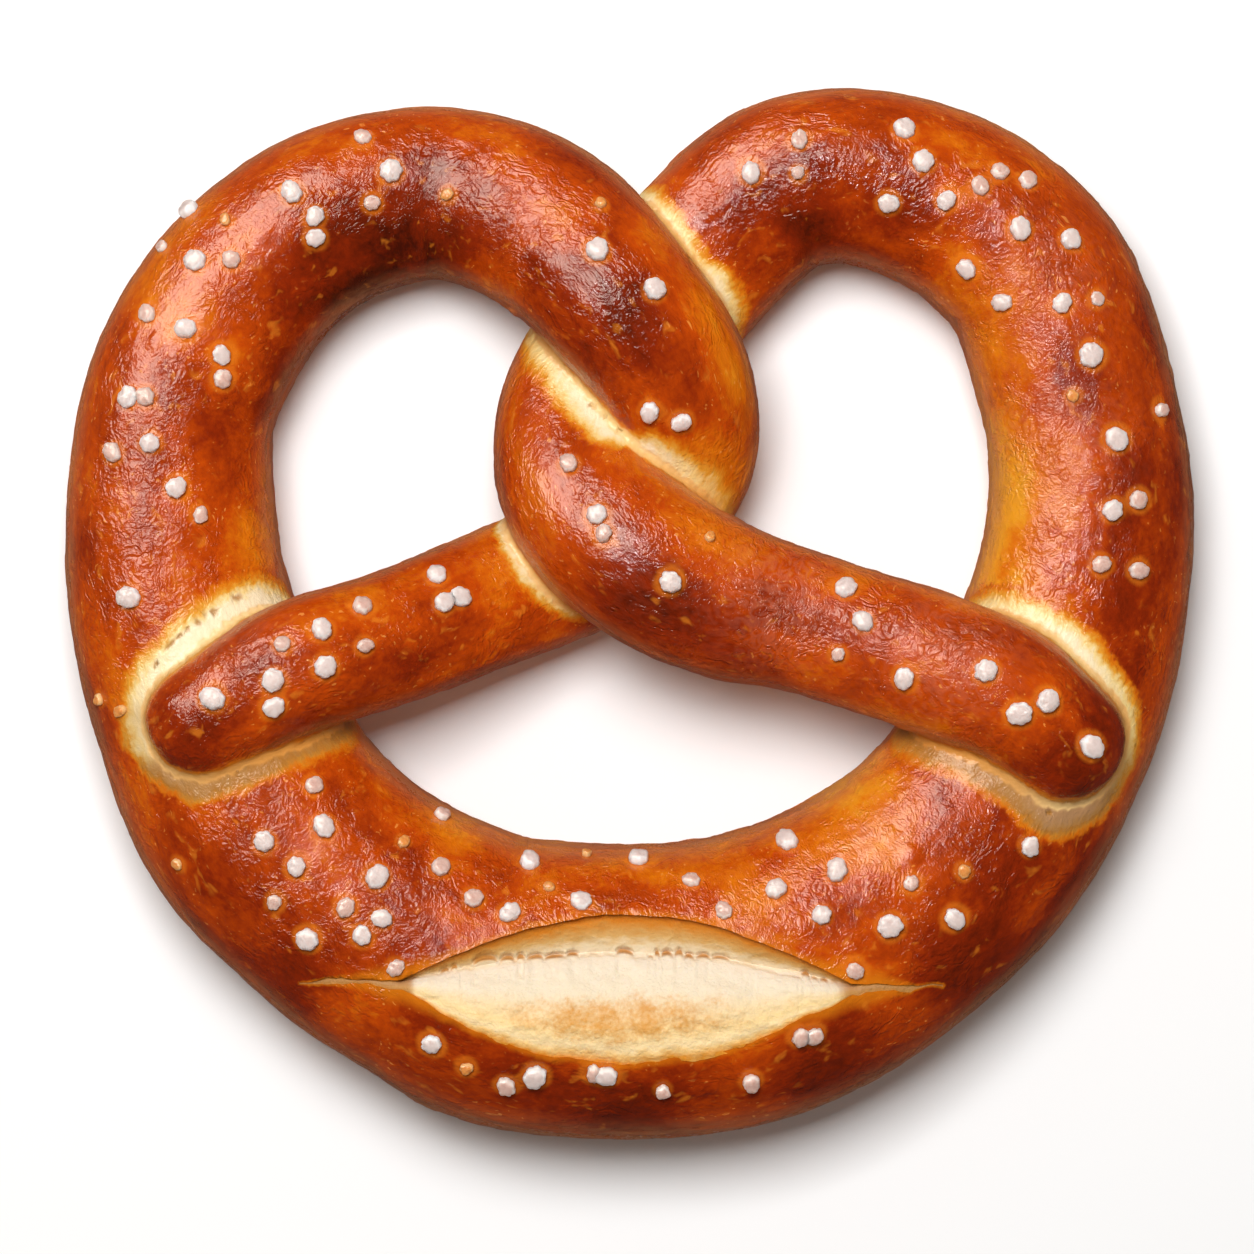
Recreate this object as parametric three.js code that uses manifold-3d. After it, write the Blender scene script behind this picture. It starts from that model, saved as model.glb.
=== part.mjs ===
// A soft Bavarian pretzel: one rope of dough, thick in the belly and thin in the arms, crossed twice
// in the middle, with its two ends laid on the loop. The belly is slashed and has burst open, and
// coarse salt is baked onto the top. It lies on its flat underside. Millimetres, +Z up, the belly
// towards -Y, the origin on the table under the middle of the outline.

import * as THREE from "three";
import { mergeVertices } from "three/addons/utils/BufferGeometryUtils.js";
import Module from "manifold-3d";

// The rope's route from the tip of the left arm to the tip of the right arm, one stretch after the
// other. Each station is x, y, the height of the rope's middle, its half width and its half height.
const STRETCHES = {
  leftArm: [
    [-65.5, -19.5, 24, 8.3, 7.8],
    [-59, -15, 25.4, 8.4, 8.2],
    [-46, -7.5, 25.8, 9.5, 9.2],
    [-32, -3, 20.5, 9.5, 9.2],
  ],
  leftUnder: [
    [-8, 7, 9.4, 10.4, 8.6],
    [1.5, 13.5, 9.6, 10.6, 8.8],
    [7.5, 23, 14, 10.8, 9.6],
  ],
  leftOver: [
    [5.7, 34, 20.5, 11.2, 10.2],
    [-1.5, 44, 21.5, 11.6, 10.6],
    [-12, 54.4, 16, 12.5, 11],
  ],
  leftLobe: [
    [-26.5, 59.8, 10.4, 12.4, 11.6],
    [-41, 56.8, 10.6, 12.8, 12],
    [-52.4, 48.9, 10.9, 13.2, 12.4],
    [-60.5, 37.5, 11.2, 13.8, 12.9],
  ],
  leftSide: [
    [-64.5, 24.5, 11.5, 14.2, 13.4],
    [-63.5, 1, 12.2, 15.9, 14.4],
  ],
  belly: [
    [-53.4, -25.1, 13.4, 18.2, 16],
    [-42.3, -37.8, 14, 18.6, 16.8],
    [-28.4, -47.1, 14.6, 19.6, 17.6],
    [-12.6, -52.6, 15, 20.8, 18.2],
    [17, -51.3, 14.9, 20.8, 18.1],
    [43.6, -36.1, 13.8, 18.5, 16.4],
  ],
  rightSide: [
    [59.4, -12, 12.5, 16.8, 14.8],
    [65.5, 16, 11.7, 14.6, 13.7],
  ],
  rightLobe: [
    [60.2, 42.5, 11.1, 13.8, 12.8],
    [51.2, 54.3, 10.8, 13.5, 12.3],
    [39.5, 60.5, 10.4, 12.8, 11.8],
    [27, 62, 10.1, 12.4, 11.4],
    [16.5, 57, 9.7, 12.6, 10.2],
  ],
  rightUnder: [
    [-1, 38, 9.6, 12.2, 8.8],
    [-7.5, 27.5, 13, 11.5, 9.8],
  ],
  rightOver: [
    [-6.5, 16.5, 19, 11.4, 10.4],
    [1.5, 8, 22.8, 11.7, 10.6],
    [13, 2, 22.8, 11.2, 10.2],
  ],
  rightArm: [
    [25.5, -1.5, 22.6, 10.2, 9.6],
    [49, -9.5, 26.4, 10, 9.4],
    [58, -15.5, 26, 9.2, 8.8],
    [66.5, -23.5, 23.4, 8.3, 7.8],
  ],
};
const SECTION_FULLNESS = 0.92; // under 1 the rope's section is a little squarer than an ellipse
const TIP_ROUNDING = 7.6; // the length over which each arm rounds off to its tip

// Facets: rings along the rope and over each tip, and points around it, gathered towards the top
const RING_STEP = 6.3;
const TIP_RINGS = 5;
const POINTS_AROUND = 24;
const TOP_GATHER = 0.35;

// The burst slash on top of the belly. Seen from above it is a lens with a thin crack at both ends.
const BURST = {
  middle: [-0.3, -52],
  halfLength: 32.4,
  halfWidth: 10.2,
  sharpness: 1.1, // over 1 its ends are sharper than a parabola's
  crackReach: { left: 45.5, right: 44 }, // from the middle
  crackHalfWidth: 0.75,
  crackDepth: 1.2,
  lipStep: 0.5, // the crust stands this far above the crumb at the lower lip
  valleyDepth: 4.2, // under the upper lip the crumb lies this far below the crust
  valleyShare: 0.27, // its place, as a share of the way from the upper lip to the lower
  wallTop: 0.35, // the wall starts at this share of the valley's depth, straight under the lip
  bulge: 0.9, // how far the crumb swells past the crust behind the valley
  endRise: 0.6, // how soon the crumb comes up to the crust at the lens's ends
};
const BURST_COLUMNS = 36;
const BURST_ROWS = 7;
const HEADROOM = 6; // what is cut away reaches this far above the crust

// Salt: the grains on each stretch, each as x, y and radius
const SALT = {
  leftArm: [
    [-29.6, 4.2, 1.4], [-29.2, 0.1, 1.45], [-26.9, 0.9, 1.5], [-39.6, 0.2, 1.35], [-44.4, -3, 1.5],
    [-48.5, -4.7, 1.2], [-39.9, -5.4, 1.15], [-43.9, -8.1, 1.6], [-49.1, -9.3, 1.65],
    [-48.7, -12.7, 1.5], [-56.7, -11.4, 1.75],
  ],
  leftOver: [
    [-2.3, 47.9, 1.65], [3.7, 44.6, 1.6], [1.7, 31.2, 1.4], [5.8, 31.1, 1.4], [-1.5, 54.3, 0.8],
  ],
  leftLobe: [
    [-62.1, 57.3, 1.5], [-65.8, 51.2, 1], [-60.9, 48.9, 1.6], [-55.5, 49.4, 1.3], [-47.3, 58.8, 1.55],
    [-44, 55.4, 1.4], [-44.1, 52.4, 1.4], [-36.8, 57.2, 1.15], [-37.8, 66.6, 1.15],
    [-33.8, 61.8, 1.65], [-67.3, 41.9, 1.3], [-61.9, 39.7, 1.5], [-57.1, 35.8, 1.4],
    [-56.8, 32.8, 1.35], [-21.5, 57.4, 0.95], [-56.6, 54.9, 0.8],
  ],
  leftSide: [
    [-69.9, 30.1, 1.5], [-67.5, 30, 1.35], [-72, 22.4, 1.35], [-66.8, 23.2, 1.4], [-63.1, 17.3, 1.5],
    [-59.8, 13.2, 1.15], [-69.5, 1.8, 1.7], [-70.7, -13.9, 0.95], [-74, -12.6, 0.8],
  ],
  belly: [
    [-43.5, -24.2, 1.25], [-41.8, -30, 1.6], [-50.3, -31.8, 1.45], [-45.5, -35.5, 1.4],
    [-34.4, -36.8, 1.7], [-62.7, -35.2, 0.8], [-48.7, -40.3, 1.1], [-38.6, -41.1, 1.35],
    [-33.5, -42.6, 1.4], [-36.1, -45, 1.4], [-43.9, -45.6, 1.6], [-31.7, -49.2, 1.25],
    [-31, -32, 0.9], [-26, -28.4, 1.1], [-25.7, -35.5, 1.35], [-21.2, -39.7, 1.35],
    [-13.7, -34.7, 1.5], [-16.3, -41.6, 1.45], [-11, -38, 0.8], [-6.4, -40, 1.45],
    [-5.9, -33.1, 0.8], [1.5, -34.3, 1.4], [8.5, -37.2, 1.2], [12.8, -41.3, 1.25],
    [21.9, -31.9, 1.6], [28.5, -35.9, 1.6], [20.2, -38.4, 1.5], [26, -42.1, 1.4], [38.6, -37.7, 1.1],
    [45.8, -36.4, 0.95], [35.7, -43.5, 1.7], [44.6, -42.7, 1.45], [30.7, -49.7, 1.2],
    [55.4, -32.7, 1.4], [-27, -59.6, 1.4], [-22.2, -63, 0.95], [-17, -65.4, 1.35],
    [-13.1, -64, 1.65], [-4.9, -63.6, 1.2], [-3, -63.9, 1.5], [4.6, -66.2, 1.05], [16.8, -65, 1.35],
    [23.6, -58.7, 1.3], [25.2, -58.6, 1.3],
  ],
  rightSide: [
    [62, 30.1, 0.95], [74.6, 28.3, 1.05], [68, 23.9, 1.65], [71, 15.4, 1.3], [67.4, 13.8, 1.5],
    [65.8, 6.7, 1.35], [71, 5.9, 1.35],
  ],
  rightLobe: [
    [64.5, 35.9, 1.75], [65.5, 43.7, 1], [60.5, 43.2, 1.4], [52.4, 43.4, 1.4], [47.4, 48.2, 1.4],
    [61.8, 52.2, 1.5], [54.7, 53.7, 1.6], [55.9, 60.6, 1.3], [52.1, 61.7, 1.25], [49.4, 59.6, 1.3],
    [45, 57.5, 1.4], [36.8, 57.4, 1.45], [41.7, 63.1, 1.55], [38.9, 67.8, 1.5], [24.3, 66.4, 1.25],
    [24.4, 61.9, 1], [17.5, 62, 1.5],
  ],
  rightOver: [
    [-6.5, 16.6, 1.35], [-2.2, 11.6, 1.45], [-1.6, 9.5, 1.25], [5.8, 4.3, 1.55], [10.8, 10.7, 0.8],
  ],
  rightArm: [
    [31.2, 3, 1.5], [33.7, -1.6, 1.5], [30.4, -6.1, 1], [39.6, -9.5, 1.5], [49.9, -8.3, 1.6],
    [56.6, -11.3, 1.65], [53.2, -13.4, 1.75], [62.4, -17, 1.7],
  ],
};
const GRAIN_HEIGHT = 0.85; // of its width
const GRAIN_UNEVENNESS = 0.28; // its corners lie up to this share of the radius apart, in or out
const GRAIN_SUNK = 0.35; // share of its height below the crust
const LOWEST_GRAIN = 0.93; // no grain lies further down the rope's side than this share of its half width
const SALT_SEED = 71;

const crust = new THREE.MeshStandardMaterial({
  color: 0xb4561a,
  roughness: 0.35,
  metalness: 0,
});

// The rope as a curve: the route, and beside it the half width and half height at the same place
const stations = Object.values(STRETCHES).flat();
const smooth = (points) => new THREE.CatmullRomCurve3(points, false, "catmullrom", 0.5);
const route = smooth(stations.map(([x, y, z]) => new THREE.Vector3(x, y, z)));
const girth = smooth(stations.map(([, , , w, h]) => new THREE.Vector3(w, h, 0)));
const LAST = stations.length - 1;

// Where each stretch starts, and where the next one does, counted in stations
const spans = {};
let counted = 0;
for (const [name, list] of Object.entries(STRETCHES)) {
  spans[name] = [counted, Math.min(counted + list.length, LAST)];
  counted += list.length;
}

// The distance walked along the rope at each of many even steps in station count
const STEPS_A_STATION = 40;
const walked = [0];
for (let i = 1; i <= LAST * STEPS_A_STATION; i++) {
  const here = route.getPoint(i / (LAST * STEPS_A_STATION));
  const before = route.getPoint((i - 1) / (LAST * STEPS_A_STATION));
  walked.push(walked[i - 1] + here.distanceTo(before));
}
const ROPE_LENGTH = walked[walked.length - 1];

function distanceAt(station) {
  const place = station * STEPS_A_STATION;
  const i = Math.min(Math.floor(place), walked.length - 2);
  return walked[i] + (place - i) * (walked[i + 1] - walked[i]);
}

function stationAt(distance) {
  let i = walked.findIndex((d) => d >= distance);
  if (i < 0) i = walked.length - 1;
  if (i === 0) return 0;
  return (i - 1 + (distance - walked[i - 1]) / (walked[i] - walked[i - 1])) / STEPS_A_STATION;
}

// The rope at a distance along it: its middle, its sideways and upward directions, and its girth
function sectionAt(distance) {
  const t = stationAt(distance) / LAST;
  const middle = route.getPoint(t);
  const along = route.getTangent(t);
  const side = new THREE.Vector3(-along.y, along.x, 0).normalize();
  const up = new THREE.Vector3().crossVectors(along, side).normalize();
  const { x: halfWidth, y: halfHeight } = girth.getPoint(t);
  const fromTip = Math.min(distance, ROPE_LENGTH - distance);
  const round = Math.sqrt(Math.max(0, 1 - (1 - Math.min(fromTip / TIP_ROUNDING, 1)) ** 2));
  return { middle, along, side, up, halfWidth: halfWidth * round, halfHeight: halfHeight * round };
}

// A point of the skin: the angle runs round the section from its left side over the top
function skinPoint(distance, angle) {
  const s = sectionAt(distance);
  const fuller = (value) => Math.sign(value) * Math.abs(value) ** SECTION_FULLNESS;
  return s.middle
    .clone()
    .addScaledVector(s.side, s.halfWidth * fuller(Math.cos(angle)))
    .addScaledVector(s.up, s.halfHeight * fuller(Math.sin(angle)));
}

const wasm = await Module();
wasm.setup();

// A geometry whose faces already share their corners, as a solid
function toSolid(geometry) {
  return new wasm.Manifold(
    new wasm.Mesh({
      numProp: 3,
      vertProperties: new Float32Array(geometry.getAttribute("position").array),
      triVerts: new Uint32Array(geometry.getIndex().array),
    }),
  );
}

// The same for one of three.js's own shapes, whose corners aren't shared yet
function shapeToSolid(geometry, moveCorner = () => {}) {
  geometry.deleteAttribute("normal");
  geometry.deleteAttribute("uv");
  const merged = mergeVertices(geometry);
  const corners = merged.getAttribute("position");
  for (let i = 0; i < corners.count; i++) {
    const corner = new THREE.Vector3().fromBufferAttribute(corners, i);
    moveCorner(corner);
    corners.setXYZ(i, ...corner);
  }
  return toSolid(merged);
}

// A closed skin over a row of rings with the same number of points, with a fan over each end
function skinOver(rings) {
  const around = rings[0].length;
  const middleOf = (ring) =>
    ring.reduce((sum, p) => sum.add(p), new THREE.Vector3()).divideScalar(ring.length);
  const points = [...rings.flat(), middleOf(rings[0]), middleOf(rings[rings.length - 1])];
  const start = points.length - 2;
  const index = [];
  for (let j = 0; j < around; j++) {
    const k = (j + 1) % around;
    for (let i = 0; i + 1 < rings.length; i++) {
      const a = i * around;
      const b = a + around;
      index.push(a + j, a + k, b + k, a + j, b + k, b + j);
    }
    const last = (rings.length - 1) * around;
    index.push(start, k, j, start + 1, last + j, last + k);
  }
  const geometry = new THREE.BufferGeometry().setFromPoints(points);
  return geometry.setIndex(index);
}

// The stretch of rope between two distances, with closer rings where it rounds off to a tip
function ropeBetween(from, to) {
  const count = Math.ceil((to - from) / RING_STEP);
  const even = Array.from({ length: count }, (_, i) => from + ((to - from) * i) / count);
  const inside = [...even, to].filter(
    (d) => d >= TIP_ROUNDING && d <= ROPE_LENGTH - TIP_ROUNDING,
  );
  const onTip = Array.from({ length: TIP_RINGS }, (_, i) => {
    const turn = ((i + 0.35) / TIP_RINGS) * (Math.PI / 2);
    return TIP_ROUNDING * (1 - Math.cos(turn));
  });
  const startTip = from === 0 ? onTip : [];
  const endTip = to === ROPE_LENGTH ? onTip.map((d) => ROPE_LENGTH - d).reverse() : [];
  const rings = [...startTip, ...inside, ...endTip].map((distance) =>
    Array.from({ length: POINTS_AROUND }, (_, j) => {
      const turn = (j / POINTS_AROUND) * 2 * Math.PI;
      return skinPoint(distance, turn + TOP_GATHER * Math.cos(turn));
    }),
  );
  return toSolid(skinOver(rings));
}

// The rope can't be one sweep, because it crosses itself: three stretches that don't, joined
function doughRope() {
  const cuts = [0, distanceAt(spans.leftLobe[0]), distanceAt(spans.rightLobe[0] + 3), ROPE_LENGTH];
  return [0, 1, 2]
    .map((i) => ropeBetween(cuts[i], cuts[i + 1]))
    .reduce((joined, stretch) => joined.add(stretch));
}

// The rope's section that lies nearest to a place on the table, between two stations
const SEARCH_STEP = 0.5;
function nearestSection(x, y, fromStation, toStation) {
  let best = null;
  const last = distanceAt(Math.min(toStation, LAST));
  for (let d = distanceAt(Math.max(fromStation, 0)); d <= last; d += SEARCH_STEP) {
    const s = sectionAt(d);
    const gap = Math.hypot(x - s.middle.x, y - s.middle.y);
    if (!best || gap < best.gap) best = { ...s, distance: d, gap };
  }
  return best;
}

// The height of the loop's crust over a place
function crustHeight(x, y) {
  const best = nearestSection(x, y, spans.belly[0] - 1, spans.belly[1] + 1);
  const share = Math.min(best.gap / best.halfWidth, 1);
  const lift = (1 - share ** (2 / SECTION_FULLNESS)) ** (SECTION_FULLNESS / 2);
  return best.middle.z + best.halfHeight * lift;
}

// How far the burst is open at a distance along it from its middle: 1 in the middle, 0 at the ends
function openness(u, power) {
  return Math.max(0, 1 - (u / BURST.halfLength) ** 2) ** power;
}

// Half the width of the lens, or of the crack that runs on from its ends
function burstHalfWidth(u) {
  const reach = u < 0 ? BURST.crackReach.left : BURST.crackReach.right;
  const crack = BURST.crackHalfWidth * Math.sqrt(Math.max(0, 1 - Math.abs(u) / reach));
  return Math.max(BURST.halfWidth * openness(u, BURST.sharpness), crack);
}

// How far the crumb lies below the crust, at a share of the way from the upper lip to the lower
function crumbDepth(u, share) {
  const open = openness(u, BURST.endRise);
  const behindWall = (share - BURST.valleyShare) / (1 - BURST.valleyShare);
  const downWall = share / BURST.valleyShare;
  const wall = BURST.valleyDepth * (BURST.wallTop + (1 - BURST.wallTop) * downWall);
  const slope = BURST.valleyDepth * (1 - behindWall) ** 3;
  const swelling = BURST.bulge * Math.sin(Math.PI * behindWall);
  const deep = share < BURST.valleyShare ? wall : slope - swelling;
  return BURST.crackDepth * (1 - open) + open * (deep + BURST.lipStep);
}

// What is missing over the crumb: a lens-shaped block whose underside is the crumb's own surface
function burstOpening() {
  const rings = [];
  for (let i = 0; i <= BURST_COLUMNS; i++) {
    const along = -Math.cos((Math.PI * i) / BURST_COLUMNS);
    const u = along * (along < 0 ? BURST.crackReach.left : BURST.crackReach.right);
    const half = Math.max(burstHalfWidth(u), BURST.crackHalfWidth / 3);
    const x = BURST.middle[0] + u;
    const floor = [];
    const lid = [];
    for (let j = 0; j <= BURST_ROWS; j++) {
      const share = j / BURST_ROWS;
      const y = BURST.middle[1] + half * (1 - 2 * share);
      const z = crustHeight(x, y);
      floor.push(new THREE.Vector3(x, y, z - crumbDepth(u, share)));
      lid.push(new THREE.Vector3(x, y, z + HEADROOM));
    }
    rings.push([...lid, ...floor.reverse()]);
  }
  return toSolid(skinOver(rings));
}

// A repeatable draw of numbers from 0 to 1
function draws(seed) {
  let state = seed;
  return () => {
    state = (state * 16807) % 2147483647;
    return state / 2147483647;
  };
}

// The salt grains: a place on the crust, the way out of it, and a radius
function saltGrains() {
  return Object.entries(SALT).flatMap(([on, grains]) =>
    grains.map(([x, y, radius]) => {
      const s = nearestSection(x, y, spans[on][0] - 1, spans[on][1] + 1);
      const across = ((x - s.middle.x) * s.side.x + (y - s.middle.y) * s.side.y) / s.halfWidth;
      const share = Math.min(Math.abs(across), LOWEST_GRAIN) ** (1 / SECTION_FULLNESS);
      const angle = Math.acos(Math.sign(across) * share);
      const out = new THREE.Vector3()
        .addScaledVector(s.side, Math.cos(angle) / s.halfWidth)
        .addScaledVector(s.up, Math.sin(angle) / s.halfHeight)
        .normalize();
      return { place: skinPoint(s.distance, angle), out, radius };
    }),
  );
}

// One grain: an uneven lump with twenty faces, partly sunk into the crust
function grainSolid({ place, out, radius }, number) {
  const draw = draws(SALT_SEED + number);
  const stand = new THREE.Quaternion().setFromUnitVectors(new THREE.Vector3(0, 0, 1), out);
  const height = radius * GRAIN_HEIGHT;
  const middle = place.clone().addScaledVector(out, height * (1 - 2 * GRAIN_SUNK));
  const lump = new THREE.IcosahedronGeometry(radius, 0);
  return shapeToSolid(lump, (corner) => {
    corner.multiplyScalar(1 + GRAIN_UNEVENNESS * (draw() - 0.5));
    corner.z *= GRAIN_HEIGHT;
    corner.applyQuaternion(stand).add(middle);
  });
}

// Everything below the table's top, which cuts the underside flat
function belowTable() {
  const [width, depth] = [400, 60];
  return shapeToSolid(new THREE.BoxGeometry(width, width, depth).translate(0, 0, -depth / 2));
}

function pretzelMesh() {
  const dough = doughRope().subtract(belowTable()).subtract(burstOpening());
  const salted = saltGrains().map(grainSolid).reduce((whole, grain) => whole.add(grain), dough);
  const made = salted.getMesh();
  const geometry = new THREE.BufferGeometry()
    .setAttribute("position", new THREE.BufferAttribute(made.vertProperties, 3))
    .setIndex(new THREE.BufferAttribute(made.triVerts, 1));
  geometry.computeVertexNormals();
  const mesh = new THREE.Mesh(geometry, crust);
  mesh.name = "pretzel";
  return mesh;
}

const part = new THREE.Group();
part.add(pretzelMesh());
export default part;
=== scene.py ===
# %% [markdown]
# # Baking a Bavarian pretzel in Blender
# The pretzel's solid form is already made and loads here as a fixed frame. This notebook gives it
# its looks: a brown glossy crust, the pale crumb where the belly burst open, and coarse salt.
# All of it is one rope of dough, so the lesson starts with the rope and hangs everything on it.
# Lengths are worked out in millimetres and turned into Blender's metres when a mesh is made.

# %% The fixed frame
import itertools

import bmesh
import bpy
import numpy as np
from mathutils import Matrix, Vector


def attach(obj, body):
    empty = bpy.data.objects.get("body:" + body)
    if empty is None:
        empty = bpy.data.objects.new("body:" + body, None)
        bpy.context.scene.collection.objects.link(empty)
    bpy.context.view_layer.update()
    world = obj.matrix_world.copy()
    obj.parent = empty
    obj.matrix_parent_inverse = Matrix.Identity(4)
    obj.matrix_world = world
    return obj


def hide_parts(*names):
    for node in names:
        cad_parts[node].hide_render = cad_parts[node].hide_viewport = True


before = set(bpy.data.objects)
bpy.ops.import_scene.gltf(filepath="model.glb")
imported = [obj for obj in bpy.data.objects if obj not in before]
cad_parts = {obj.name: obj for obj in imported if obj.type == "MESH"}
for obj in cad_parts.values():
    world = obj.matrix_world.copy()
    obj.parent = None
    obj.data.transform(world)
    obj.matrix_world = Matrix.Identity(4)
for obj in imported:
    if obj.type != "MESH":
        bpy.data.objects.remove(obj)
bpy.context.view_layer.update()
MM = 0.001

# %% [markdown]
# ## The rope of dough
# A real pretzel starts as a rope that is thick in the middle and thin at both ends. A curve object
# with a round bevel could follow its route, but a baked rope is wider than it is high, and how
# wide changes along the way. So each station below is x, y, the height of the rope's middle, its
# half width and its half height, and a smooth curve runs through all five numbers at once.

# %% Stations from the tip of the left arm to the tip of the right arm
STRETCHES = {
    "leftArm": [(-65.5, -19.5, 24, 8.3, 7.8), (-59, -15, 25.4, 8.4, 8.2),
                (-46, -7.5, 25.8, 9.5, 9.2), (-32, -3, 20.5, 9.5, 9.2)],
    "leftUnder": [(-8, 7, 9.4, 10.4, 8.6), (1.5, 13.5, 9.6, 10.6, 8.8), (7.5, 23, 14, 10.8, 9.6)],
    "leftOver": [(5.7, 34, 20.5, 11.2, 10.2), (-1.5, 44, 21.5, 11.6, 10.6), (-12, 54.4, 16, 12.5, 11)],
    "leftLobe": [(-26.5, 59.8, 10.4, 12.4, 11.6), (-41, 56.8, 10.6, 12.8, 12),
                 (-52.4, 48.9, 10.9, 13.2, 12.4), (-60.5, 37.5, 11.2, 13.8, 12.9)],
    "leftSide": [(-64.5, 24.5, 11.5, 14.2, 13.4), (-63.5, 1, 12.2, 15.9, 14.4)],
    "belly": [(-53.4, -25.1, 13.4, 18.2, 16), (-42.3, -37.8, 14, 18.6, 16.8),
              (-28.4, -47.1, 14.6, 19.6, 17.6), (-12.6, -52.6, 15, 20.8, 18.2),
              (17, -51.3, 14.9, 20.8, 18.1), (43.6, -36.1, 13.8, 18.5, 16.4)],
    "rightSide": [(59.4, -12, 12.5, 16.8, 14.8), (65.5, 16, 11.7, 14.6, 13.7)],
    "rightLobe": [(60.2, 42.5, 11.1, 13.8, 12.8), (51.2, 54.3, 10.8, 13.5, 12.3),
                  (39.5, 60.5, 10.4, 12.8, 11.8), (27, 62, 10.1, 12.4, 11.4), (16.5, 57, 9.7, 12.6, 10.2)],
    "rightUnder": [(-1, 38, 9.6, 12.2, 8.8), (-7.5, 27.5, 13, 11.5, 9.8)],
    "rightOver": [(-6.5, 16.5, 19, 11.4, 10.4), (1.5, 8, 22.8, 11.7, 10.6), (13, 2, 22.8, 11.2, 10.2)],
    "rightArm": [(25.5, -1.5, 22.6, 10.2, 9.6), (49, -9.5, 26.4, 10, 9.4),
                 (58, -15.5, 26, 9.2, 8.8), (66.5, -23.5, 23.4, 8.3, 7.8)],
}
STATIONS = np.array([station for stretch in STRETCHES.values() for station in stretch], float)
SPANS, counted = {}, 0
for name, stretch in STRETCHES.items():
    SPANS[name] = (counted, min(counted + len(stretch), len(STATIONS) - 1))
    counted += len(stretch)
print(len(STATIONS), "stations in", len(SPANS), "stretches")

# %% A smooth curve through them, measured by the distance walked along it
STEPS = 40  # to each station
ends = [2 * STATIONS[0] - STATIONS[1], 2 * STATIONS[-1] - STATIONS[-2]]
knots = np.vstack([ends[0], STATIONS, ends[1]])
step = np.linspace(0, 1, STEPS, endpoint=False)[:, None]
rows, slopes = [], []
for a, b, c, d in zip(knots, knots[1:], knots[2:], knots[3:]):
    rows.append(0.5 * (2 * b + (c - a) * step + (2 * a - 5 * b + 4 * c - d) * step**2
                       + (3 * b - a - 3 * c + d) * step**3))
    slopes.append(0.5 * ((c - a) + 2 * (2 * a - 5 * b + 4 * c - d) * step
                         + 3 * (3 * b - a - 3 * c + d) * step**2))
rows = np.vstack(rows + [STATIONS[-1:]])
slopes = np.vstack(slopes + [(STATIONS[-1:] - STATIONS[-2:-1])])
walked = np.concatenate([[0], np.cumsum(np.linalg.norm(np.diff(rows[:, :3], axis=0), axis=1))])
LENGTH = walked[-1]
print("the rope is", round(LENGTH), "mm long")


def distance_at(station):
    return float(np.interp(station * STEPS, np.arange(len(walked)), walked))


# %% The rope's section at any distance
TIP = 7.6  # each arm rounds off over this length
FULLNESS = 0.92  # under 1 the section is a little squarer than an ellipse


def unit(vectors):
    return vectors / np.maximum(np.linalg.norm(vectors, axis=-1, keepdims=True), 1e-9)


def section(distance):
    """The rope's middle, its directions along, to its left and up, its half width and half height."""
    d = np.clip(distance, 0, LENGTH)
    row = np.stack([np.interp(d, walked, column) for column in rows.T], -1)
    along = unit(np.stack([np.interp(d, walked, column) for column in slopes[:, :3].T], -1))
    side = unit(np.stack([-along[..., 1], along[..., 0], 0 * along[..., 0]], -1))
    up = np.cross(along, side)
    nearness = 1 - np.minimum(np.minimum(d, LENGTH - d) / TIP, 1)
    roundness = np.sqrt(np.maximum(0, 1 - nearness**2))
    return row[..., :3], along, side, up, row[..., 3] * roundness, row[..., 4] * roundness


def fuller(value):
    return np.sign(value) * np.abs(value) ** FULLNESS


def skin_point(distance, angle):
    """A point of the skin; the angle runs round the section from its left side over the top."""
    middle, _, side, up, half_width, half_height = section(distance)
    across = (half_width * fuller(np.cos(angle)))[..., None]
    return middle + side * across + up * (half_height * fuller(np.sin(angle)))[..., None]


# %% Closed skins over rows of rings
def solid(name, points, faces):
    """A mesh object from points in millimetres."""
    mesh = bpy.data.meshes.new(name)
    mesh.from_pydata(np.asarray(points, float) * MM, [], faces)
    mesh.update()
    made = bpy.data.objects.new(name, mesh)
    bpy.context.scene.collection.objects.link(made)
    return made


def skin_over(rings):
    """Points and faces of a closed skin over rings with the same number of points."""
    count, around = rings.shape[:2]
    ring = np.arange(around)
    faces = []
    for i in range(count - 1):
        a = i * around
        faces += np.stack([a + ring, a + (ring + 1) % around,
                           a + around + (ring + 1) % around, a + around + ring], 1).tolist()
    faces += [ring[::-1].tolist(), ((count - 1) * around + ring).tolist()]
    return rings.reshape(-1, 3), faces


RING_STEP = 1.0
AROUND = 80


def rope_between(start, end):
    """The stretch of rope between two distances, with closer rings where it rounds off to a tip."""
    tip = TIP * (1 - np.cos(np.linspace(0.04, 1, 14) * np.pi / 2))
    inside = np.linspace(start, end, int((end - start) / RING_STEP) + 1)
    inside = inside[(inside > TIP) & (inside < LENGTH - TIP)]
    at = np.concatenate([tip if start == 0 else [], inside, LENGTH - tip[::-1] if end == LENGTH else []])
    angle = np.linspace(0, 2 * np.pi, AROUND, endpoint=False)
    return skin_point(*np.meshgrid(at, angle, indexing="ij"))


# %% [markdown]
# ## One body of dough
# The rope crosses itself, and where two parts touch, the dough bakes together. A Boolean union
# would leave knife-sharp grooves there. A voxel remesh joins the stretches into one even skin of
# small quads instead, and those are also what fine wrinkles need later on.

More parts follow.
